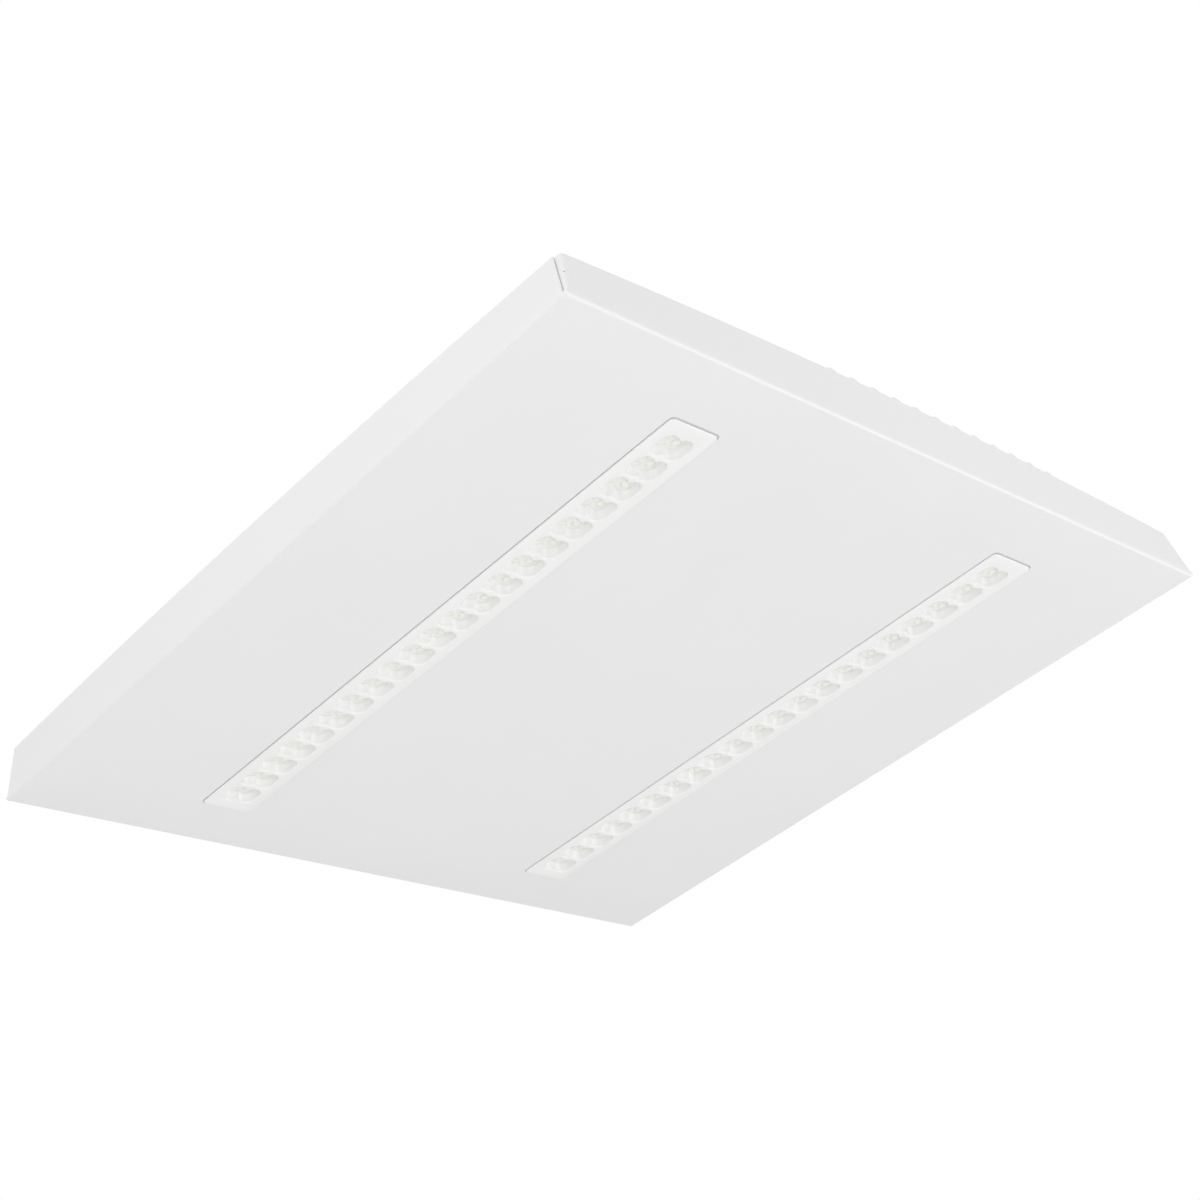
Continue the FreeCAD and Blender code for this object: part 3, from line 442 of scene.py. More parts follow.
@dataclass(frozen=True)
class TwoTone(Finish):
    """Insulation in two colours, half of the way round each."""

    second: Colour = (0.03, 0.24, 0.05)

    def shade(self, graph: Graph, tone: NodeSocket) -> NodeSocket:
        """First colour, and the second on the wire's other half.

        Args:
            graph: the material's graph.
            tone: socket of the pattern's tone.

        Returns:
            Socket of the colour.
        """
        uv = graph.add("ShaderNodeUVMap", uv_map="along").outputs[0]
        across = graph.add("ShaderNodeSeparateXYZ", {0: uv}).outputs["Y"]
        return graph.mix(graph.math("GREATER_THAN", across, 0.5), super().shade(graph, tone), self.second)


class Palette:
    """All finishes of the light, each made a material once."""

    finishes: tuple[Finish, ...] = (
        Coated("powder_coat", (0.80, 0.80, 0.80), 0.46, grain=1100.0, drift=7.0, relief=9.0e-6, tone=0.012,
               spread=0.05, dust=0.10, coat=0.12),
        Coated("cover_coat", (0.76, 0.765, 0.77), 0.50, grain=1300.0, drift=11.0, relief=8.0e-6, tone=0.02,
               spread=0.06, dust=0.22, coat=0.08),
        # Optic moulding: cups painted paler as light, the clearance round the nose painted darker as shade.
        Reflector("optic_plastic", (0.86, 0.86, 0.855), 0.36, grain=2600.0, drift=30.0, relief=2.0e-6, tone=0.012,
                  spread=0.04),
        Clear("lens_plastic", (0.93, 0.935, 0.885), 0.16, grain=700.0, drift=40.0, relief=2.0e-6, tone=0.01,
              spread=0.03),
        Coated("solder_mask", (0.84, 0.85, 0.83), 0.35, grain=1800.0, drift=60.0, relief=4.0e-6, tone=0.05,
               coat=0.4, coat_roughness=0.2),
        Finish("package_white", (0.82, 0.82, 0.80), 0.4, grain=3000.0, relief=2.0e-6),
        Finish("phosphor", (0.86, 0.63, 0.12), 0.38, grain=5000.0, drift=300.0, relief=3.0e-6, tone=0.12),
        Finish("connector_nylon", (0.80, 0.80, 0.78), 0.42, grain=1500.0, drift=50.0, relief=5.0e-6, dust=0.1),
        Finish("connector_dark", (0.17, 0.175, 0.18), 0.45, grain=1500.0, drift=50.0, relief=5.0e-6, tone=0.1,
               dust=0.15),
        Finish("terminal_nylon", (0.79, 0.80, 0.80), 0.38, grain=1200.0, drift=40.0, relief=5.0e-6, tone=0.03,
               dust=0.12),
        Finish("button_plastic", (0.86, 0.20, 0.025), 0.36, grain=1600.0, drift=90.0, relief=4.0e-6, tone=0.08),
        Finish("zinc_plate", (0.66, 0.68, 0.71), 0.30, metallic=1.0, grain=900.0, drift=120.0, relief=6.0e-6,
               tone=0.18, spread=0.10, dust=0.12),
        Finish("rivet_metal", (0.74, 0.75, 0.76), 0.36, metallic=1.0, grain=1500.0, drift=200.0, relief=5.0e-6,
               tone=0.1),
        Finish("rolled_aluminium", (0.76, 0.77, 0.78), 0.38, metallic=1.0, grain=1500.0, relief=3.0e-6,
               tone=0.10, spread=0.08, dust=0.15, pattern=streaks),
        Finish("galvanised_sheet", (0.64, 0.655, 0.67), 0.42, metallic=1.0, grain=170.0, relief=2.0e-5,
               tone=0.22, spread=0.10, dust=0.15, pattern=spangle),
        Finish("rubber", (0.022, 0.022, 0.023), 0.68, grain=2200.0, drift=70.0, relief=1.2e-5, tone=0.25,
               dust=0.3),
    )

    def __init__(self) -> None:
        """Make every material."""
        self.made = {finish.name: finish.material() for finish in self.finishes}
        for colour in Insulation:
            kind = TwoTone if colour is Insulation.GREEN_YELLOW else Finish
            wire = kind("wire_" + colour.word, colour.value, 0.42, grain=1200.0, drift=60.0, relief=8.0e-6,
                        tone=0.1, dust=0.12)
            self.made[wire.name] = wire.material()

    def __getitem__(self, name: str) -> Material:
        """Material of that name."""
        return self.made[name]

    def dress(self, name: str, *nodes: str) -> None:
        """Give CAD nodes a finish.

        Args:
            name: name of the finish.
            *nodes: names of the nodes.
        """
        for node in nodes:
            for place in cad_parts[node].material_slots:
                place.material = self.made[name]
            log.info("%s: dressed with %s", node, name)


# ---- mesh helpers ----
Ring = Sequence[Point]


def linked(name: str, data: ID) -> Object:
    """Put a new object in the scene.

    Args:
        name: its name.
        data: its mesh, curve, lamp or camera.

    Returns:
        The object.
    """
    made = bpy.data.objects.new(name, data)
    bpy.context.scene.collection.objects.link(made)
    return made


class Sketch:
    """Vertices and faces that are collected in millimetres and made a mesh in metres."""

    def __init__(self, points: Iterable[Point] = ()) -> None:
        """Start empty, or with loose points."""
        self.points = list(points)
        self.faces: list[tuple[int, ...]] = []

    def grid(self, rows: Sequence[Ring], closed: bool = False) -> None:
        """Add a grid of quads.

        Args:
            rows: rows of points, all of one length.
            closed: True if each row closes on itself.
        """
        width, base = len(rows[0]), len(self.points)
        for row in rows:
            self.points += list(row)
        for r in range(len(rows) - 1):
            for c in range(width if closed else width - 1):
                a, b = base + r * width + c, base + r * width + (c + 1) % width
                self.faces.append((a, b, b + width, a + width))

    def cap(self, ring: Ring, flip: bool = False) -> None:
        """Close a ring with one face.

        Args:
            ring: points of the ring.
            flip: True to turn the face round.
        """
        base = len(self.points)
        self.points += list(ring)
        order = range(base, base + len(ring))
        self.faces.append(tuple(reversed(order)) if flip else tuple(order))

    def stack(self, rings: Sequence[Ring]) -> "Sketch":
        """Add a closed body through rings that go up, counter-clockwise seen from above.

        Args:
            rings: the rings, the lowest first.

        Returns:
            The same sketch.
        """
        self.grid(rings, closed=True)
        self.cap(rings[0], flip=True)
        self.cap(rings[-1])
        return self

    def piece(self, name: str) -> Object:
        """Make an object at the origin.

        Args:
            name: name of the object.

        Returns:
            The new object, with its doubles merged.
        """
        mesh = bpy.data.meshes.new(name)
        mesh.from_pydata([tuple(c * MM for c in p) for p in self.points], [], self.faces)
        work = bmesh.new()
        work.from_mesh(mesh)
        bmesh.ops.remove_doubles(work, verts=work.verts, dist=WELD)
        work.to_mesh(mesh)
        work.free()
        return linked(name, mesh)


def full_turn(steps: int) -> list[float]:
    """Angles all the way round."""
    return [2 * math.pi * i / steps for i in range(steps)]


def quarter_turn(steps: int) -> list[float]:
    """Angles from nought to a right angle."""
    return [math.radians(90.0 * i / steps) for i in range(steps + 1)]


def spread(count: int) -> list[float]:
    """Even shares from -1 to 1, a number of them on each side of nought."""
    return [i / count for i in range(-count, count + 1)]


def rounded(size: Point, z: float, inset: float = 0.0, steps: int = 6) -> list[Point]:
    """Rounded rectangle round the origin, counter-clockwise.

    Args:
        size: sizes along X and Y, and the corner radius.
        z: height.
        inset: how far it shrinks on all sides.
        steps: steps of a corner.

    Returns:
        Its points.
    """
    width, length, radius = size[0] - 2 * inset, size[1] - 2 * inset, size[2] - inset
    ring = []
    for turn, (sx, sy) in enumerate(((1, -1), (1, 1), (-1, 1), (-1, -1))):
        cx, cy = sx * (width / 2 - radius), sy * (length / 2 - radius)
        for i in range(steps + 1):
            angle = math.radians(-90.0 + 90.0 * turn + 90.0 * i / steps)
            ring.append((cx + radius * math.cos(angle), cy + radius * math.sin(angle), z))
    return ring


def lathe(profile: Sequence[Flat], steps: int, centre: Flat = (0.0, 0.0)) -> list[list[Point]]:
    """Rings of a turned shape, from the radius and height of each and the place of its axis."""
    angles = full_turn(steps)
    return [[(centre[0] + r * math.cos(a), centre[1] + r * math.sin(a), z) for a in angles] for r, z in profile]


def ridges(crest: Flat, root: Flat, pitch: float, turns: int) -> list[Flat]:
    """Profile of a thread, from the radius and height of its first crest and root."""
    return [(radius, z + pitch * i) for i in range(turns) for radius, z in (crest, root)]


def plain(piece: Object) -> Object:
    """Turn an object with modifiers or a curve into a plain mesh object.

    Args:
        piece: the object.

    Returns:
        An object of the same name whose mesh holds the result.
    """
    bpy.context.view_layer.update()
    graph = bpy.context.evaluated_depsgraph_get()
    mesh = bpy.data.meshes.new_from_object(piece.evaluated_get(graph), depsgraph=graph)
    if piece.type == "MESH":
        piece.modifiers.clear()
        piece.data = mesh
        return piece
    name = piece.name
    bpy.data.objects.remove(piece)
    return linked(name, mesh)


def finished(piece: Object, material: Material, node: str, sharp: float = 40.0) -> None:
    """Shade and dress a new piece and tie it to the housing.

    Args:
        piece: the object.
        material: its material.
        node: CAD node that it stands for.
        sharp: degrees past which its edges stay sharp.
    """
    work = bmesh.new()
    work.from_mesh(piece.data)
    for face in work.faces:
        face.smooth = True
    for edge in work.edges:
        edge.smooth = len(edge.link_faces) == 2 and edge.calc_face_angle(0.0) < math.radians(sharp)
    work.to_mesh(piece.data)
    work.free()
    piece.data.materials.clear()
    piece.data.materials.append(material)
    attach(piece, HOUSING)
    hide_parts(node)
    triangles = sum(len(face.vertices) - 2 for face in piece.data.polygons)
    log.info("%s: %d triangles", piece.name, triangles)


# ---- geometry node trees ----
GEOMETRY, OBJECT, MATERIAL = "NodeSocketGeometry", "NodeSocketObject", "NodeSocketMaterial"
RESULT = {"Result": GEOMETRY}


def placed(graph: Graph, points: NodeSocket, turn: object = (0.0, 0.0, 0.0)) -> NodeSocket:
    """Units on points, as real geometry.

    Args:
        graph: the tree's graph.
        points: socket of the points.
        turn: rotation of each unit.

    Returns:
        Socket of the geometry.
    """
    unit = graph.add("GeometryNodeObjectInfo", {"Object": graph["Unit"]}).outputs["Geometry"]
    units = graph.add("GeometryNodeInstanceOnPoints", {"Points": points, "Instance": unit, "Rotation": turn})
    return graph.add("GeometryNodeRealizeInstances", {"Geometry": units.outputs[0]}).outputs[0]


def closed(graph: Graph, geometry: NodeSocket) -> Ends:
    """End of a tree: real geometry with its finish."""
    real = graph.add("GeometryNodeRealizeInstances", {"Geometry": geometry}).outputs[0]
    return graph.add("GeometryNodeSetMaterial", {"Geometry": real, "Material": graph["Finish"]}).outputs[:1]


@grown("GeometryNodeTree", RESULT, Points=GEOMETRY, Unit=OBJECT, Turn=0.0, Seed=7, Finish=MATERIAL)
def units_on_points(graph: Graph) -> Ends:
    """A unit on every point of a mesh, each turned by a random angle.

    Args:
        graph: the tree's graph.

    Returns:
        The result.
    """
    angle = graph.add("FunctionNodeRandomValue", {"Max": graph["Turn"], "Seed": graph["Seed"]}, data_type="FLOAT")
    turn = graph.add("ShaderNodeCombineXYZ", {"Z": angle.outputs[1]}).outputs[0]
    return closed(graph, placed(graph, graph["Points"], turn))


def row(graph: Graph) -> NodeSocket:
    """Units in a row along Y.

    Args:
        graph: the tree's graph.

    Returns:
        Socket of the units.
    """
    step = graph.add("ShaderNodeCombineXYZ", {"Y": graph["Pitch"]}).outputs[0]
    line = graph.add("GeometryNodeMeshLine", {"Count": graph["Count"], "Offset": step}, mode="OFFSET",
                     count_mode="TOTAL")
    return placed(graph, line.outputs[0])


ROW = {"Body": GEOMETRY, "Unit": OBJECT, "Count": 21, "Pitch": CUP_PITCH * MM, "Finish": MATERIAL}


@grown("GeometryNodeTree", RESULT, **ROW)
def row_cut_out(graph: Graph) -> Ends:
    """A body with a row of units cut out of it."""
    ends = {"Mesh 1": graph["Body"], "Mesh 2": row(graph)}
    return closed(graph, graph.add("GeometryNodeMeshBoolean", ends, operation="DIFFERENCE", solver="EXACT").outputs[0])


@grown("GeometryNodeTree", RESULT, **ROW)
def row_joined_on(graph: Graph) -> Ends:
    """A body with a row of units joined to it; both go into the input at 1, which takes several."""
    ends = {"Mesh 2": graph["Body"], 1: row(graph)}
    return closed(graph, graph.add("GeometryNodeMeshBoolean", ends, operation="UNION", solver="EXACT").outputs[0])


def repeated(piece: Object, tree: NodeTree, **values: object) -> Object:
    """Run a tree on a piece and keep the result as a plain mesh.

    Args:
        piece: the object whose mesh goes in.
        tree: the tree.
        **values: values of its named inputs; a unit object is removed afterwards.

    Returns:
        The piece with its new mesh.
    """
    modifier = piece.modifiers.new("repeat", "NODES")
    modifier.node_group = tree
    identifiers = {item.name: item.identifier for item in tree.interface.items_tree if item.in_out == "INPUT"}
    for name, value in values.items():
        modifier[identifiers[name]] = value
    made = plain(piece)
    bpy.data.objects.remove(values["Unit"])
    return made


def scattered(name: str, unit: Sketch, places: Iterable[Point], finish: Material, turn: float = 0.0,
              seed: int = 7) -> Object:
    """One piece with a unit on each place, turned at random by up to the given angle in radians."""
    piece = Sketch(places).piece(name)
    return repeated(piece, units_on_points(), Unit=unit.piece("unit"), Turn=turn, Seed=seed, Finish=finish)


# ---- tray ----
@dataclass
class Tray:
    """Folded steel tray: face with two slots, bowed walls, corner tabs, nibs and weld studs."""

    palette: Palette
    half: float = 297.5
    sheet: float = 0.8
    bend: float = 2.0
    rim: float = 3.0
    top: float = 38.7
    levels: int = 6
    end_pull: float = 6.0
    end_columns: int = 20
    nib_clear: float = 0.02
    side_steep: float = 8.4
    side_slight: float = 3.6
    side_middle: float = 1.5
    side_columns: int = 24
    fold_start: float = 1.4
    fold_low: float = 1.1
    fold_high: float = 2.6
    tab_length: float = 14.0
    tab_lift: float = 0.25
    slit_low: float = 2.7
    slit_high: float = 5.0
    slit_narrow: float = 1.8
    nib_first: float = -72.5
    nib_pitch: float = 20.0
    nib_count: int = 12
    nib_width: float = 10.0
    nib_height: float = 1.8
    nib_steps: int = 8
    slot: Point = (40.7, 496.6, 4.1)
    slot_shift: float = -0.45
    hole_radius: float = 0.8
    hole_reach: float = 1.4
    hole_steps: int = 16
    stud_foot: tuple[Flat, ...] = ((2.9, 0.75), (2.9, 1.05), (2.0, 1.3))
    stud_tip: tuple[Flat, ...] = ((2.0, 7.05), (1.5, 7.5))
    sketch: Sketch = field(default_factory=Sketch)

    def rise(self, z: float) -> float:
        """Share of the walls' lean that is reached at a height."""
        return (z - self.rim) / (self.top - self.rim)

    def fold_radius(self, z: float) -> float:
        """Outer radius of the corner folds at a height."""
        return self.fold_low + (self.fold_high - self.fold_low) * self.rise(z)

    def end_span(self, z: float) -> Flat:
        """Middle and half length of an end wall's straight part at a height.

        Args:
            z: height.

        Returns:
            Both lengths.
        """
        left, right = (self.fold_start + lean * self.rise(z) + self.fold_radius(z)
                       for lean in (self.side_steep, self.side_slight))
        return (left - right) / 2, self.half - (left + right) / 2

    def end_point(self, share: float, z: float, over: float = 0.0) -> Point:
        """Place along an end wall, inward depth and height, for a share of -1 to 1 and a height."""
        middle, reach = self.end_span(z)
        return middle + share * reach, self.end_pull * self.rise(z + over) * share ** 2, z + over

    def side_point(self, share: float, z: float) -> Point:
        """The same for a side wall, whose two ends lean differently.

        Args:
            share: place along the wall, -1 at its left end and 1 at its right end.
            z: height.

        Returns:
            Place along the wall, depth behind the tray's edge and height.
        """
        left = -self.half + self.slit_narrow + self.end_pull * self.rise(z)
        right = self.half - self.slit_low - (self.slit_high - self.slit_low + self.end_pull) * self.rise(z)
        mean, swing = (self.side_slight + self.side_steep) / 2, (self.side_steep - self.side_slight) / 2
        lean = mean + swing * share - (mean - self.side_middle) * (1 - share ** 2)
        return (left + right) / 2 + share * (right - left) / 2, lean * self.rise(z), z

    def turned(self, s: float, depth: float, z: float, quarter: int) -> Point:
        """Point of a wall in the frame.

        Args:
            s: place along the wall.
            depth: depth behind the tray's edge.
            z: height.
            quarter: quarter turns of the wall from the front.

        Returns:
            The point.
        """
        x, y = s, -self.half + depth
        for _ in range(quarter):
            x, y = -y, x
        return (x, y, z)

    def nib_shares(self) -> list[list[float]]:
        """Columns of the nibs.

        Returns:
            Those of each nib, as shares of an end wall's half length at its top.
        """
        middle, reach = self.end_span(self.top)
        lows = [self.nib_first + i * self.nib_pitch - self.nib_width / 2 for i in range(self.nib_count)]
        return [[(low + self.nib_width * k / self.nib_steps - middle) / reach for k in range(self.nib_steps + 1)]
                for low in lows]

    def end_shares(self) -> list[float]:
        """Columns of an end wall.

        Returns:
            Their shares, with all those of the nibs among them.
        """
        taken = [share for nib in self.nib_shares() for share in nib]
        low, high = taken[0] - self.nib_clear, taken[-1] + self.nib_clear
        return sorted([s for s in spread(self.end_columns) if s < low or s > high] + taken)

    def heights(self) -> list[float]:
        """Heights of the walls' rows, the rim first."""
        return [self.rim + (self.top - self.rim) * i / self.levels for i in range(self.levels + 1)]

    def wall(self, quarter: int, shares: list[float], point: Callable[..., Point]) -> list[float]:
        """Add the sheet of a wall from its columns and the function of its points; gives their places at the rim."""
        self.sketch.grid([[self.turned(*point(u, z), quarter) for u in shares] for z in self.heights()])
        return [point(u, self.rim)[0] for u in shares]

    def fold(self, quarter: int, sign: int) -> None:
        """Add the upright fold and the tab at one end of an end wall.

        Args:
            quarter: quarter turns from the front.
            sign: -1 for the left end and 1 for the right end.
        """
        rows = []
        for z in self.heights():
            s, depth, _ = self.end_point(sign, z)
            radius = self.fold_radius(z)
            profile = [(s + sign * radius * math.sin(a), depth + radius * (1 - math.cos(a))) for a in quarter_turn(6)]
            profile.append((s + sign * radius, depth + self.tab_length))
            lift = self.tab_lift if z == self.rim else 0.0
            points = [self.turned(along, inward, z + (lift if i else 0.0), quarter)
                      for i, (along, inward) in enumerate(profile)]
            rows.append(points if sign > 0 else points[::-1])
        self.sketch.grid(rows)

    def nibs(self, quarter: int) -> None:
        """Add the nibs on an end wall's top edge.

        Args:
            quarter: quarter turns of the wall from the front.
        """
        hump = [self.nib_height * math.sin(math.pi * k / self.nib_steps) for k in range(self.nib_steps + 1)]
        for nib in self.nib_shares():
            self.sketch.grid([[self.turned(*self.end_point(u, self.top, over), quarter) for u, over in zip(nib, edge)]
                              for edge in ([0.0] * len(nib), hump)])

    def pan(self, columns: list[list[float]]) -> list[Point]:
        """Add the bend round the face and the rim.

        Args:
            columns: places of the wall columns on each of the four sides.

        Returns:
            The face's outline.
        """
        levels = [(self.half - self.bend * (1 - math.sin(a)), self.bend * (1 - math.cos(a))) for a in quarter_turn(8)]
        levels.append((self.half, self.rim))
        outline = []
        for quarter, inner in enumerate(columns):
            places = [-self.half, *inner, self.half]
            rows = [[self.turned(s * h / self.half, self.half - h, z, quarter) for s in places] for h, z in levels]
            self.sketch.grid(rows)
            outline += rows[0][:-1]
        return outline

    def face(self, piece: Object, outline: list[Point]) -> None:
        """Fill the face round its two slots.

        Args:
            piece: the tray so far.
            outline: outline of the face.
        """
        work = bmesh.new()
        work.from_mesh(piece.data)
        slot = rounded(self.slot, 0.0, steps=8)
        loops = [outline] + [[(x + side.value * STRIP_X, y + self.slot_shift, z) for x, y, z in slot] for side in Side]
        edges = []
        for loop in loops:
            corners = [work.verts.new(Vector(p) * MM) for p in loop]
            edges += [work.edges.new((a, b)) for a, b in zip(corners, corners[1:] + corners[:1])]
        filled = bmesh.ops.triangle_fill(work, edges=edges, use_beauty=True)
        for item in filled["geom"]:
            if isinstance(item, bmesh.types.BMFace):
                item.normal_update()
                if item.normal.z > 0:
                    item.normal_flip()
        bmesh.ops.remove_doubles(work, verts=work.verts, dist=WELD)
        work.to_mesh(piece.data)
        work.free()

    def holes(self) -> Object:
        """Cutters for the small tooling holes through the corner folds.

        Returns:
            Object with the four cutters.
        """
        sketch = Sketch()
        middle = (self.rim + self.top) / 2
        radius, slant = self.fold_radius(middle), math.sqrt(0.5)
        into = radius * (1 - slant)
        across = [(self.hole_radius * math.cos(a) * slant, middle + self.hole_radius * math.sin(a))
                  for a in full_turn(self.hole_steps)]
        for sign in (-1, 1):
            s, depth, _ = self.end_point(sign, middle)
            x, y = s + sign * (radius - into), -self.half + depth + into
            rings = [[(x - sign * along + a, y + along + sign * a, z) for a, z in across]
                     for along in (self.hole_reach, -self.hole_reach)]
            sketch.stack(rings)
            sketch.stack([[(-a, -b, z) for a, b, z in ring] for ring in rings])
        return sketch.piece("tooling_holes")

    def shell(self) -> Object:
        """Build the folded sheet.

        Returns:
            The tray's object.
        """
        columns = []
        for quarter in range(4):
            if quarter % 2:
                columns.append(self.wall(quarter, spread(self.side_columns), self.side_point))
            else:
                columns.append(self.wall(quarter, self.end_shares(), self.end_point))
                self.fold(quarter, -1)
                self.fold(quarter, 1)
                self.nibs(quarter)
        outline = self.pan(columns)
        piece = self.sketch.piece("tray_shell")
        self.face(piece, outline)
        thick = piece.modifiers.new("sheet", "SOLIDIFY")
        thick.thickness, thick.offset, thick.use_even_offset = self.sheet * MM, -1.0, True
        cutter = self.holes()
        drill = piece.modifiers.new("holes", "BOOLEAN")
        drill.operation, drill.solver, drill.object = "DIFFERENCE", "EXACT", cutter
        plain(piece)
        bpy.data.objects.remove(cutter)
        return piece

    def build(self) -> None:
        """Make the shell and its threaded weld studs, each on a flat foot."""
        finished(self.shell(), self.palette["powder_coat"], "tray")
        profile = [*self.stud_foot, *ridges((2.0, 1.6), (1.72, 1.95), 0.7, 8), *self.stud_tip]
        places = [(x, y, 0.0) for *_, studs in STUDS for x, y in studs]
        steel = self.palette["zinc_plate"]
        piece = scattered("weld_studs", Sketch().stack(lathe(profile, 12)), places, steel, ANY_TURN, 3)
        finished(piece, steel, "tray", sharp=30.0)


# ---- light strips ----
@dataclass
class LightStrip:
    """One strip: moulded optic with its row of cups, lens bar, board and LEDs."""

    palette: Palette
    side: Side
    nose: Point = (39.5, 494.5, 3.5)
    flange: Point = (45.5, 502.3, 6.5)
    flange_low: float = 0.85
    flange_high: float = 2.45
    back: Point = (31.0, 482.0, 4.0)
    back_edge: float = 0.4
    proud: float = 1.0
    edge: float = 0.8
    count: int = 21
    depth: float = 5.2
    lip: float = 0.8
    mouth: Point = (19.6, 6.5, 5.4)
    throat: Point = (13.6, 5.6, 5.4)
    curve: float = 1.8
    cup_levels: int = 10
    lobe_steps: int = 14
    overshoot: float = 0.6
    bar: Point = (29.0, 476.0, 2.0)
    bar_low: float = 5.25
    bar_edge: float = 0.2
    bar_thick: float = 1.2
    dome_radius: float = 3.2
    dome_height: float = 1.3
    dome_degrees: tuple[float, ...] = (8, 24, 40, 56, 72, 90)
    led_x: float = 5.4
    led_top: float = 8.4
    led_package: tuple[tuple[Point, float], ...] = (((2.8, 2.8, 0.35), -0.7), ((3.0, 3.0, 0.4), -0.6),
                                                    ((3.0, 3.0, 0.4), 0.0))
    led_dome: tuple[Flat, ...] = ((0.5, -0.95), (0.95, -0.88), (1.25, -0.68), (1.25, -0.6))

    @property
    def first(self) -> float:
        """Place of the first cup."""
        return -(self.count - 1) / 2 * CUP_PITCH

    def two_lobed(self, length: float, radius: float, spread: float, z: float) -> list[Point]:
        """Outline of the first cup at one height: two round-ended slots side by side.

        Args:
            length: size along Y.
            radius: radius of the round ends.
            spread: distance of each slot from the middle.
            z: height.

        Returns:
            Points, counter-clockwise.
        """
        run = length / 2 - radius
        lean = math.degrees(math.acos(spread / radius))
        ring = []
        for turn, (sx, sy) in enumerate(((1, 1), (-1, 1), (-1, -1), (1, -1))):
            low, high = (lean, 180.0) if turn % 2 else (0.0, 180.0 - lean)
            start = 180.0 * (turn // 2)
            for i in range(self.lobe_steps + 1):
                angle = math.radians(start + low + (high - low) * i / self.lobe_steps)
                ring.append((sx * spread + radius * math.cos(angle), self.first + sy * run + radius * math.sin(angle),
                             z))
        return ring

    def grown_mouth(self, by: float, z: float) -> list[Point]:
        """Outline of the mouth at a height, grown all round."""
        length, radius, spread = self.mouth
        return self.two_lobed(length + 2 * by, radius + by, spread, z)

    def cup(self) -> Sketch:
        """Cutter of one cup.

        Returns:
            Its shape, from the rounded mouth to past the throat.
        """
        rings = [self.grown_mouth(self.lip, -self.proud - self.back_edge)]
        rings += [self.grown_mouth(self.lip * (1 - math.sin(a)), -self.proud + self.lip * (1 - math.cos(a)))
                  for a in quarter_turn(5)]
        low, high = -self.proud + self.lip, self.depth
        for i in range(1, self.cup_levels + 1):
            t = i / self.cup_levels
            size = [a + (b - a) * t ** self.curve for a, b in zip(self.mouth, self.throat)]
            rings.append(self.two_lobed(*size, low + (high - low) * t))
        rings.append([(x, y, self.depth + self.overshoot) for x, y, _ in rings[-1]])
        return Sketch().stack(rings)

    def rowed(self, name: str, rings: Sequence[Ring], tree: NodeTree, unit: Sketch, finish: str,
              node: str) -> None:
        """Make a piece with one unit for each cup.

        Args:
            name: start of its name.
            rings: rings of its body.
            tree: tree that cuts the units out or joins them on.
            unit: the unit of the first cup.
            finish: name of its finish.
            node: start of the name of the CAD node that it stands for.
        """
        piece, material = Sketch().stack(rings).piece(name + self.side.word), self.palette[finish]
        repeated(piece, tree, Unit=unit.piece("unit"), Count=self.count, Pitch=CUP_PITCH * MM, Finish=material)
        piece.data.transform(Matrix.Translation((self.side.value * STRIP_X * MM, 0, 0)))
        finished(piece, material, node + self.side.word, sharp=32.0)

    def optic(self) -> None:
        """Moulding with a rounded nose, a flange behind the face and the cups."""
        rings = [rounded(self.nose, -self.proud + self.edge * (1 - math.cos(a)), self.edge * (1 - math.sin(a)))
                 for a in quarter_turn(5)]
        rings += [rounded(self.nose, self.flange_low)]
        rings += [rounded(self.flange, z) for z in (self.flange_low, self.flange_high)]
        rings += [rounded(self.back, z) for z in (self.flange_high, self.depth - self.back_edge)]
        rings += [rounded(self.back, self.depth, self.back_edge)]
        self.rowed("optic_", rings, row_cut_out(), self.cup(), "optic_plastic", "louvre_")

    def lens_bar(self) -> None:
        """Clear bar with two shallow domes before the LEDs of each cup."""
        low, edge, thick = self.bar_low, self.bar_edge, self.bar_thick
        rings = [rounded(self.bar, low + up, inset)
                 for up, inset in ((0.0, edge), (edge, 0.0), (thick - edge, 0.0), (thick, edge))]
        dome = [(self.dome_radius * math.sin(a), low - self.dome_height * math.cos(a))
                for a in map(math.radians, self.dome_degrees)]
        pair = Sketch()
        for x in (-self.led_x, self.led_x):
            pair.stack(lathe(dome + [(self.dome_radius, low + edge)], 20, (x, self.first)))
        self.rowed("lenses_", rings, row_joined_on(), pair, "lens_plastic", "lens_bar_")

    def leds(self) -> None:
        """White packages and their yellow domes."""
        places = [(self.side.value * STRIP_X + x, self.first + i * CUP_PITCH, self.led_top)
                  for i in range(self.count) for x in (-self.led_x, self.led_x)]
        package = [rounded(size, z, steps=2) for size, z in self.led_package]
        for rings, name, finish in ((package, "led_packages_", "package_white"),
                                    (lathe(self.led_dome, 14), "led_domes_", "phosphor")):
            piece = scattered(name + self.side.word, Sketch().stack(rings), places, self.palette[finish])
            finished(piece, self.palette[finish], "leds_" + self.side.word)

    def build(self) -> None:
        """Make the strip and dress what stays from the frame."""
        self.optic()
        self.lens_bar()
        self.leds()
        for finish, node in (("solder_mask", "led_board_"), ("rolled_aluminium", "carrier_"),
                             ("connector_nylon", "led_connector_")):
            self.palette.dress(finish, node + self.side.word)


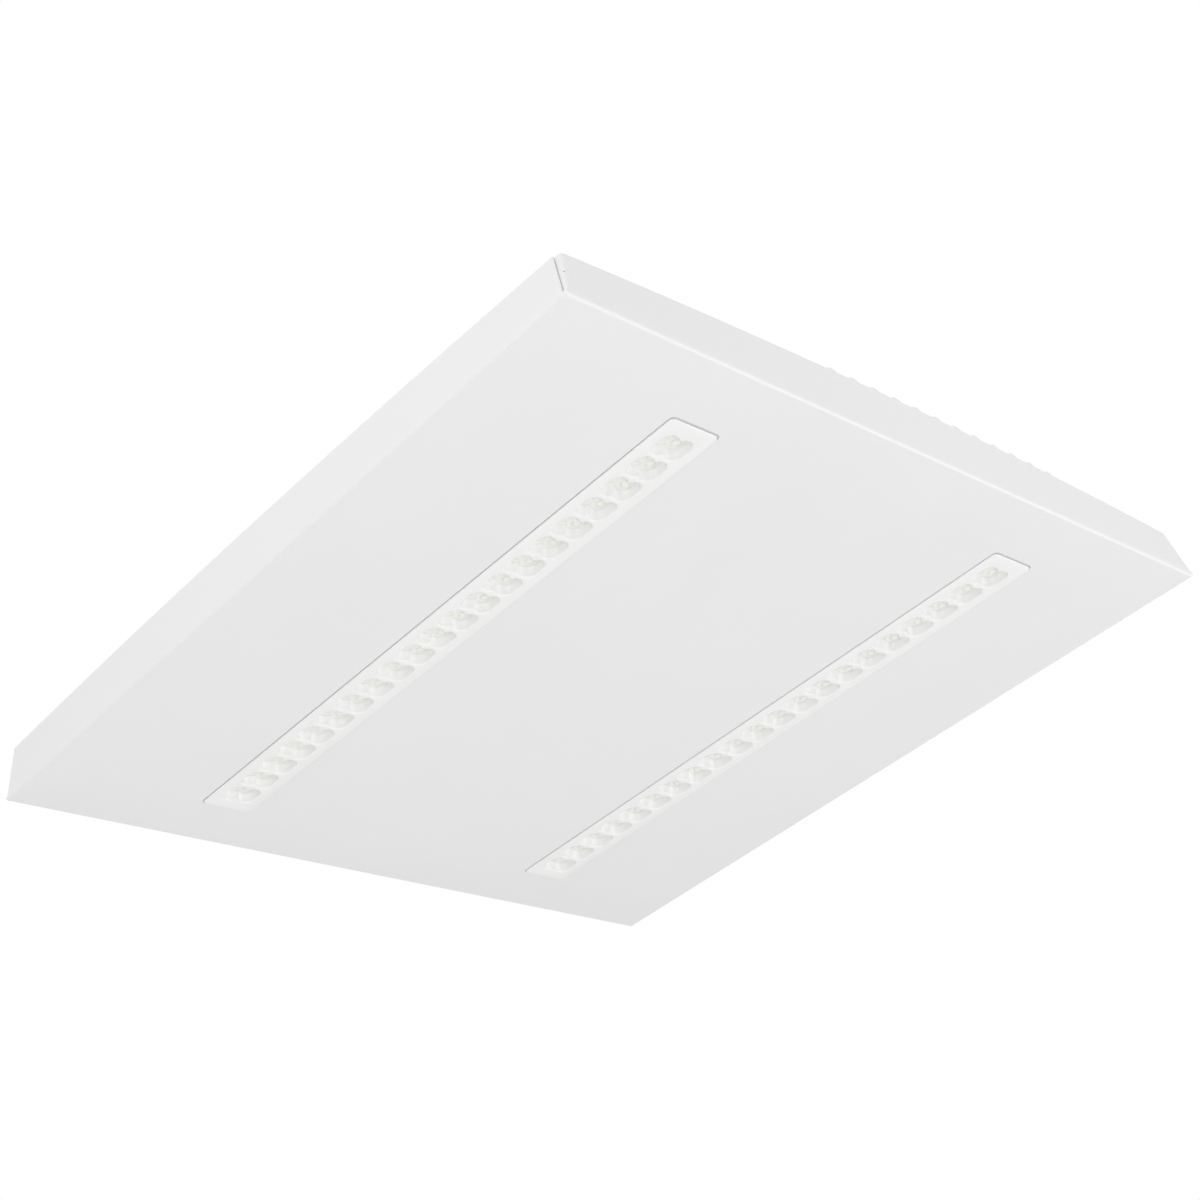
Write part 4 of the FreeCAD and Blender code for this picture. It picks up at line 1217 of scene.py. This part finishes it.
# ---- fasteners ----
@dataclass
class Fasteners:
    """Nuts, screws and rivets that hold the light together."""

    palette: Palette
    nut_flats: float = 7.0
    nut_steps: int = 24
    nut_levels: tuple[Flat, ...] = ((1.03, 0.5), (1.2, 0.75), (1.2, 2.75), (1.03, 3.2))
    nut_inside: tuple[Flat, ...] = ((2.35, 3.2), (1.9, 2.9), (1.9, 0.0), (4.2, 0.0), (4.4, 0.15), (4.4, 0.4),
                                    (4.2, 0.5))
    screw_head: tuple[Flat, ...] = ((0.9, -0.95), (1.9, -0.8), (2.35, -0.35), (2.4, -0.05), (1.4, 0.0))
    screw_tip: Flat = (1.3, 3.25)
    screw_z: float = 8.4
    rivet: tuple[Flat, ...] = ((1.5, -1.05), (1.5, 0.0), (3.2, 0.0), (3.15, 0.3), (2.6, 0.75), (1.7, 1.0),
                               (1.05, 1.0), (0.95, 0.45), (0.7, 0.4))
    rivet_x: float = 150.5
    rivet_y: float = 165.0
    rivet_z: float = 11.6

    def nut(self) -> Sketch:
        """Hexagon nut with chamfered corners on a washer.

        Returns:
            Its shape.
        """
        rings, apothem = [], self.nut_flats / 2
        for limit, z in self.nut_levels:
            ring = []
            for angle in full_turn(self.nut_steps):
                fold = (math.degrees(angle) + 30.0) % 60.0 - 30.0
                radius = min(apothem / math.cos(math.radians(fold)), apothem * limit)
                ring.append((radius * math.cos(angle), radius * math.sin(angle), z))
            rings.append(ring)
        rings += lathe(self.nut_inside, self.nut_steps)
        sketch = Sketch()
        sketch.grid(rings + [rings[0]], closed=True)
        return sketch

    def build(self) -> None:
        """Make the nuts, the boards' pan-head screws and the blind rivets of the eyes."""
        zinc, metal = (Slot.ZINC_STEEL, "zinc_plate"), (Slot.RIVET_ALUMINIUM, "rivet_metal")
        screw = Sketch().stack(lathe([*self.screw_head, *ridges((1.4, 0.3), (1.15, 0.55), 0.5, 6), self.screw_tip], 12))
        rivet = Sketch().stack(lathe(self.rivet, 20))
        groups = [("hex_" + node, self.nut(), [(x, y, seat) for x, y in places], seed, 28.0, zinc, node)
                  for node, seed, seat, places in STUDS]
        groups += [
            ("pan_head_screws", screw, [(side.value * STRIP_X, k * CUP_PITCH, self.screw_z) for side in Side
                                        for k in (-9.5, -3.5, 3.5, 9.5)], 5, 30.0, zinc, "board_screws"),
            ("blind_rivets", rivet, [(side.value * self.rivet_x, y, self.rivet_z) for side in Side
                                     for y in (-self.rivet_y, self.rivet_y)], 9, 40.0, metal, "bracket_rivets"),
        ]
        for name, unit, places, seed, sharp, (slot, finish), node in groups:
            piece = scattered(name, unit, places, self.palette[finish], ANY_TURN, seed)
            finished(piece, self.palette[finish], node, sharp)


# ---- inner wiring ----
@dataclass
class Harness:
    """Inner wires on smooth curves, each in its own colour."""

    palette: Palette
    radius: float = 1.1
    round_steps: int = 3
    run_steps: int = 14
    mains_first: Flat = (-21.0, 22.0)
    mains_pitch: Flat = (8.0, 7.0)
    mains_run: tuple[Flat, ...] = ((-117.0, 9.0), (-95.0, 9.0), (-60.0, 7.4), (-36.0, 7.4))
    lead_middle: float = 36.0
    lead_apart: float = 5.2
    lead_y: Point = (176.0, 189.0, 201.0)
    lead_z: Flat = (7.4, 12.7)
    strip_end: float = 149.0
    earth_x: float = -50.0
    earth_y: float = -176.0
    lug_low: float = 0.85
    lug_thick: float = 0.8
    barrel_z: float = 2.75
    barrel_steps: int = 20
    barrel: tuple[Flat, ...] = ((7.0, 1.5), (7.2, 1.8), (9.4, 1.8), (9.8, 1.55), (11.2, 1.55), (11.6, 1.8),
                                (13.8, 1.8), (14.0, 1.5))

    def wire(self, name: str, route: Sequence[Point], colour: Insulation, slot: Slot, node: str) -> None:
        """Lay one wire.

        Args:
            name: name of the piece.
            route: control points of its curve.
            colour: its insulation.
            slot: not used.
            node: CAD node that it stands for.
        """
        curve = bpy.data.curves.new(name, "CURVE")
        curve.dimensions, curve.use_fill_caps = "3D", True
        curve.bevel_depth, curve.bevel_resolution = self.radius * MM, self.round_steps
        spline = curve.splines.new("NURBS")
        spline.points.add(len(route) - 1)
        for point, place in zip(spline.points, route):
            point.co = (*(c * MM for c in place), 1.0)
        spline.order_u, spline.use_endpoint_u, spline.resolution_u = 3, True, self.run_steps
        piece = plain(linked(name, curve))
        if piece.data.uv_layers:
            piece.data.uv_layers[0].name = "along"
        finished(piece, self.palette["wire_" + colour.word], node, sharp=50.0)

    def mains(self) -> None:
        """Wires from the terminal to the driver."""
        colours = (Insulation.BROWN, Insulation.BLUE, Insulation.GREEN_YELLOW, Insulation.VIOLET, Insulation.GREY)
        for i, colour in enumerate(colours):
            start, end = (first + pitch * i for first, pitch in zip(self.mains_first, self.mains_pitch))
            route = [(x, y, z) for x, (y, z) in zip((start, start, end, end), self.mains_run)]
            self.wire("mains_" + colour.word, route, colour, Slot.WIRE_GREY, "wires_mains")

    def leads(self) -> None:
        """A pair of leads from the driver to each strip."""
        for side in Side:
            sign = side.value
            for i, colour in enumerate((Insulation.RED, Insulation.BLACK)):
                x, across = self.lead_middle + sign * (4.5 + 9.0 * i), self.lead_apart * (0.5 - i)
                (out, rise, over), (low, high) = self.lead_y, self.lead_z
                route = [(x, out, low), (x, rise + across, low), (x + sign * 12, over + across, high),
                         (sign * self.strip_end, over + across, high)]
                self.wire(f"lead_{side.word}_{colour.word}", route, colour, Slot.WIRE_RED, "wires_" + side.word)

    def earth(self) -> None:
        """Earth lead with its ring lug on the tray's stud."""
        x, y, low, high = self.earth_x, self.earth_y, self.lug_low, self.lug_low + self.lug_thick
        route = [(x + 13, y, self.barrel_z), (x + 30, y, self.barrel_z + 1), (-5.0, y + 18, 8.0), (-5.0, -139.0, 9.0)]
        self.wire("earth_wire", route, Insulation.GREEN_YELLOW, Slot.WIRE_GREEN, "earth_lead")
        lug = Sketch()
        rings = lathe([(2.1, low), (4.5, low), (4.5, high), (2.1, high)], 28, (x, y))
        lug.grid(rings + [rings[0]], closed=True)
        neck = ((x + 4.0, y - 2.0), (x + 9.0, y - 2.0), (x + 9.0, y + 2.0), (x + 4.0, y + 2.0))
        lug.stack([[(*corner, z) for corner in neck] for z in (low, high)])
        lug.stack([[(x + along, y + r * math.cos(a), self.barrel_z + r * math.sin(a))
                    for a in full_turn(self.barrel_steps)] for along, r in self.barrel])
        finished(lug.piece("ring_lug"), self.palette["zinc_plate"], "earth_lead")

    def build(self) -> None:
        """Lay all wires."""
        self.mains()
        self.leads()
        self.earth()


# ---- gear ----
@dataclass
class Gear:
    """Cover, lid, driver and terminal: shapes from the frame with their finishes."""

    palette: Palette
    finishes: tuple[tuple[str, ...], ...] = (
        ("cover_coat", "gear_cover", "access_lid"),
        ("zinc_plate", "hinge_pin"),
        ("galvanised_sheet", "driver_case", "suspension_brackets"),
        ("connector_dark", "driver_input", "driver_output"),
        ("terminal_nylon", "terminal_block"),
        ("rubber", "cable_grommet"),
    )

    def build(self) -> None:
        """Dress the nodes that keep their shape."""
        for finish, *nodes in self.finishes:
            self.palette.dress(finish, *nodes)
        self.palette.dress("button_plastic", *(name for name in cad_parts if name.startswith("release_button_")))


# ---- studio ----
@dataclass
class Studio:
    """Camera below the face, soft lamps, white surroundings and a pale floor, all in metres."""

    eye: Point = (-0.9511, -0.8498, -0.7220)
    right: Point = (0.73929, -0.64950, -0.17775)
    down: Point = (0.23996, 0.50074, -0.83167)
    ahead: Point = (0.62918, 0.57219, 0.52605)
    lens: float = 63.17
    sensor: float = 36.0
    clip: Flat = (0.05, 200.0)
    shift: Flat = (0.0216, 0.0091)
    floor_z: float = -1.9
    floor_reach: float = 90.0
    floor_steps: int = 96
    surround: float = 0.668
    lamps: tuple[tuple[str, Point, float, float], ...] = (
        ("key_lamp", (-1.15, -1.05, -0.95), 0.8, 2.8),
        ("window_lamp", (-2.2, -1.0, -0.6), 1.6, 8.2),
        ("high_lamp", (-1.9, -0.3, 1.0), 1.0, 8.4),
        ("fill_lamp", (1.0, -2.4, -0.2), 1.6, 11.0),
        ("right_lamp", (1.39, -1.12, -1.2), 0.7, 8.6),
        ("below_lamp", (-0.4, 0.3, -1.7), 1.2, 4.4),
    )

    def camera(self) -> None:
        """Set the camera where the photograph was taken from."""
        data = bpy.data.cameras.new("camera")
        data.lens, data.sensor_width = self.lens, self.sensor
        data.shift_x, data.shift_y = self.shift
        data.clip_start, data.clip_end = self.clip
        camera = linked("camera", data)
        axes = Matrix((self.right, [-c for c in self.down], [-c for c in self.ahead])).transposed()
        camera.matrix_world = Matrix.Translation(self.eye) @ axes.to_4x4()
        bpy.context.scene.camera = camera

    def world(self) -> None:
        """Even light from all round, seen as plain white."""
        world = bpy.data.worlds.new("surround")
        bpy.context.scene.world = world
        world.use_nodes = True
        world.node_tree.nodes.clear()
        graph = Graph(world.node_tree)
        path = graph.add("ShaderNodeLightPath").outputs
        seen = graph.math("MAXIMUM", path["Is Camera Ray"], path["Is Glossy Ray"])
        seen = graph.math("MAXIMUM", seen, path["Is Transmission Ray"])
        light = graph.add("ShaderNodeBackground",
                          {"Color": WHITE, "Strength": graph.ramp(seen, 0.0, 1.0, self.surround, 1.0)})
        graph.add("ShaderNodeOutputWorld", {"Surface": light.outputs[0]})

    def lamp(self, name: str, place: Point, size: float, power: float) -> None:
        """Hang one soft lamp that looks at the light.

        Args:
            name: its name.
            place: where it hangs.
            size: its diameter.
            power: its power.
        """
        data = bpy.data.lights.new(name, "AREA")
        data.shape, data.size, data.energy = "DISK", size, power
        lamp = linked(name, data)
        lamp.location, lamp.rotation_mode = place, "QUATERNION"
        lamp.rotation_quaternion = (-Vector(place)).to_track_quat("-Z", "Y")

    def floor(self) -> None:
        """Wide round pale floor."""
        sketch, reach, z = Sketch(), self.floor_reach / MM, self.floor_z / MM
        sketch.cap([(reach * math.cos(a), reach * math.sin(a), z) for a in full_turn(self.floor_steps)])
        floor = sketch.piece("floor")
        paint = Backdrop("floor_paint", (0.90, 0.90, 0.90), 0.9, grain=40.0, drift=0.4, relief=1.0e-4, tone=0.01,
                         spread=0.02)
        floor.data.materials.append(paint.material())

    def build(self) -> None:
        """Set up the whole studio."""
        bpy.context.scene.view_settings.view_transform = "Standard"
        self.camera()
        self.world()
        for lamp in self.lamps:
            self.lamp(*lamp)
        self.floor()


def main() -> None:
    """Build and dress the light, piece by piece."""
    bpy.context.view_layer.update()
    Studio().build()
    palette = Palette()
    strips = [LightStrip(palette, side) for side in Side]
    for part in (Tray(palette), *strips, Fasteners(palette), Harness(palette), Gear(palette)):
        part.build()
        log.info("%s: done", type(part).__name__)
    log.info("sizes written")


if __name__ == "__main__":
    main()
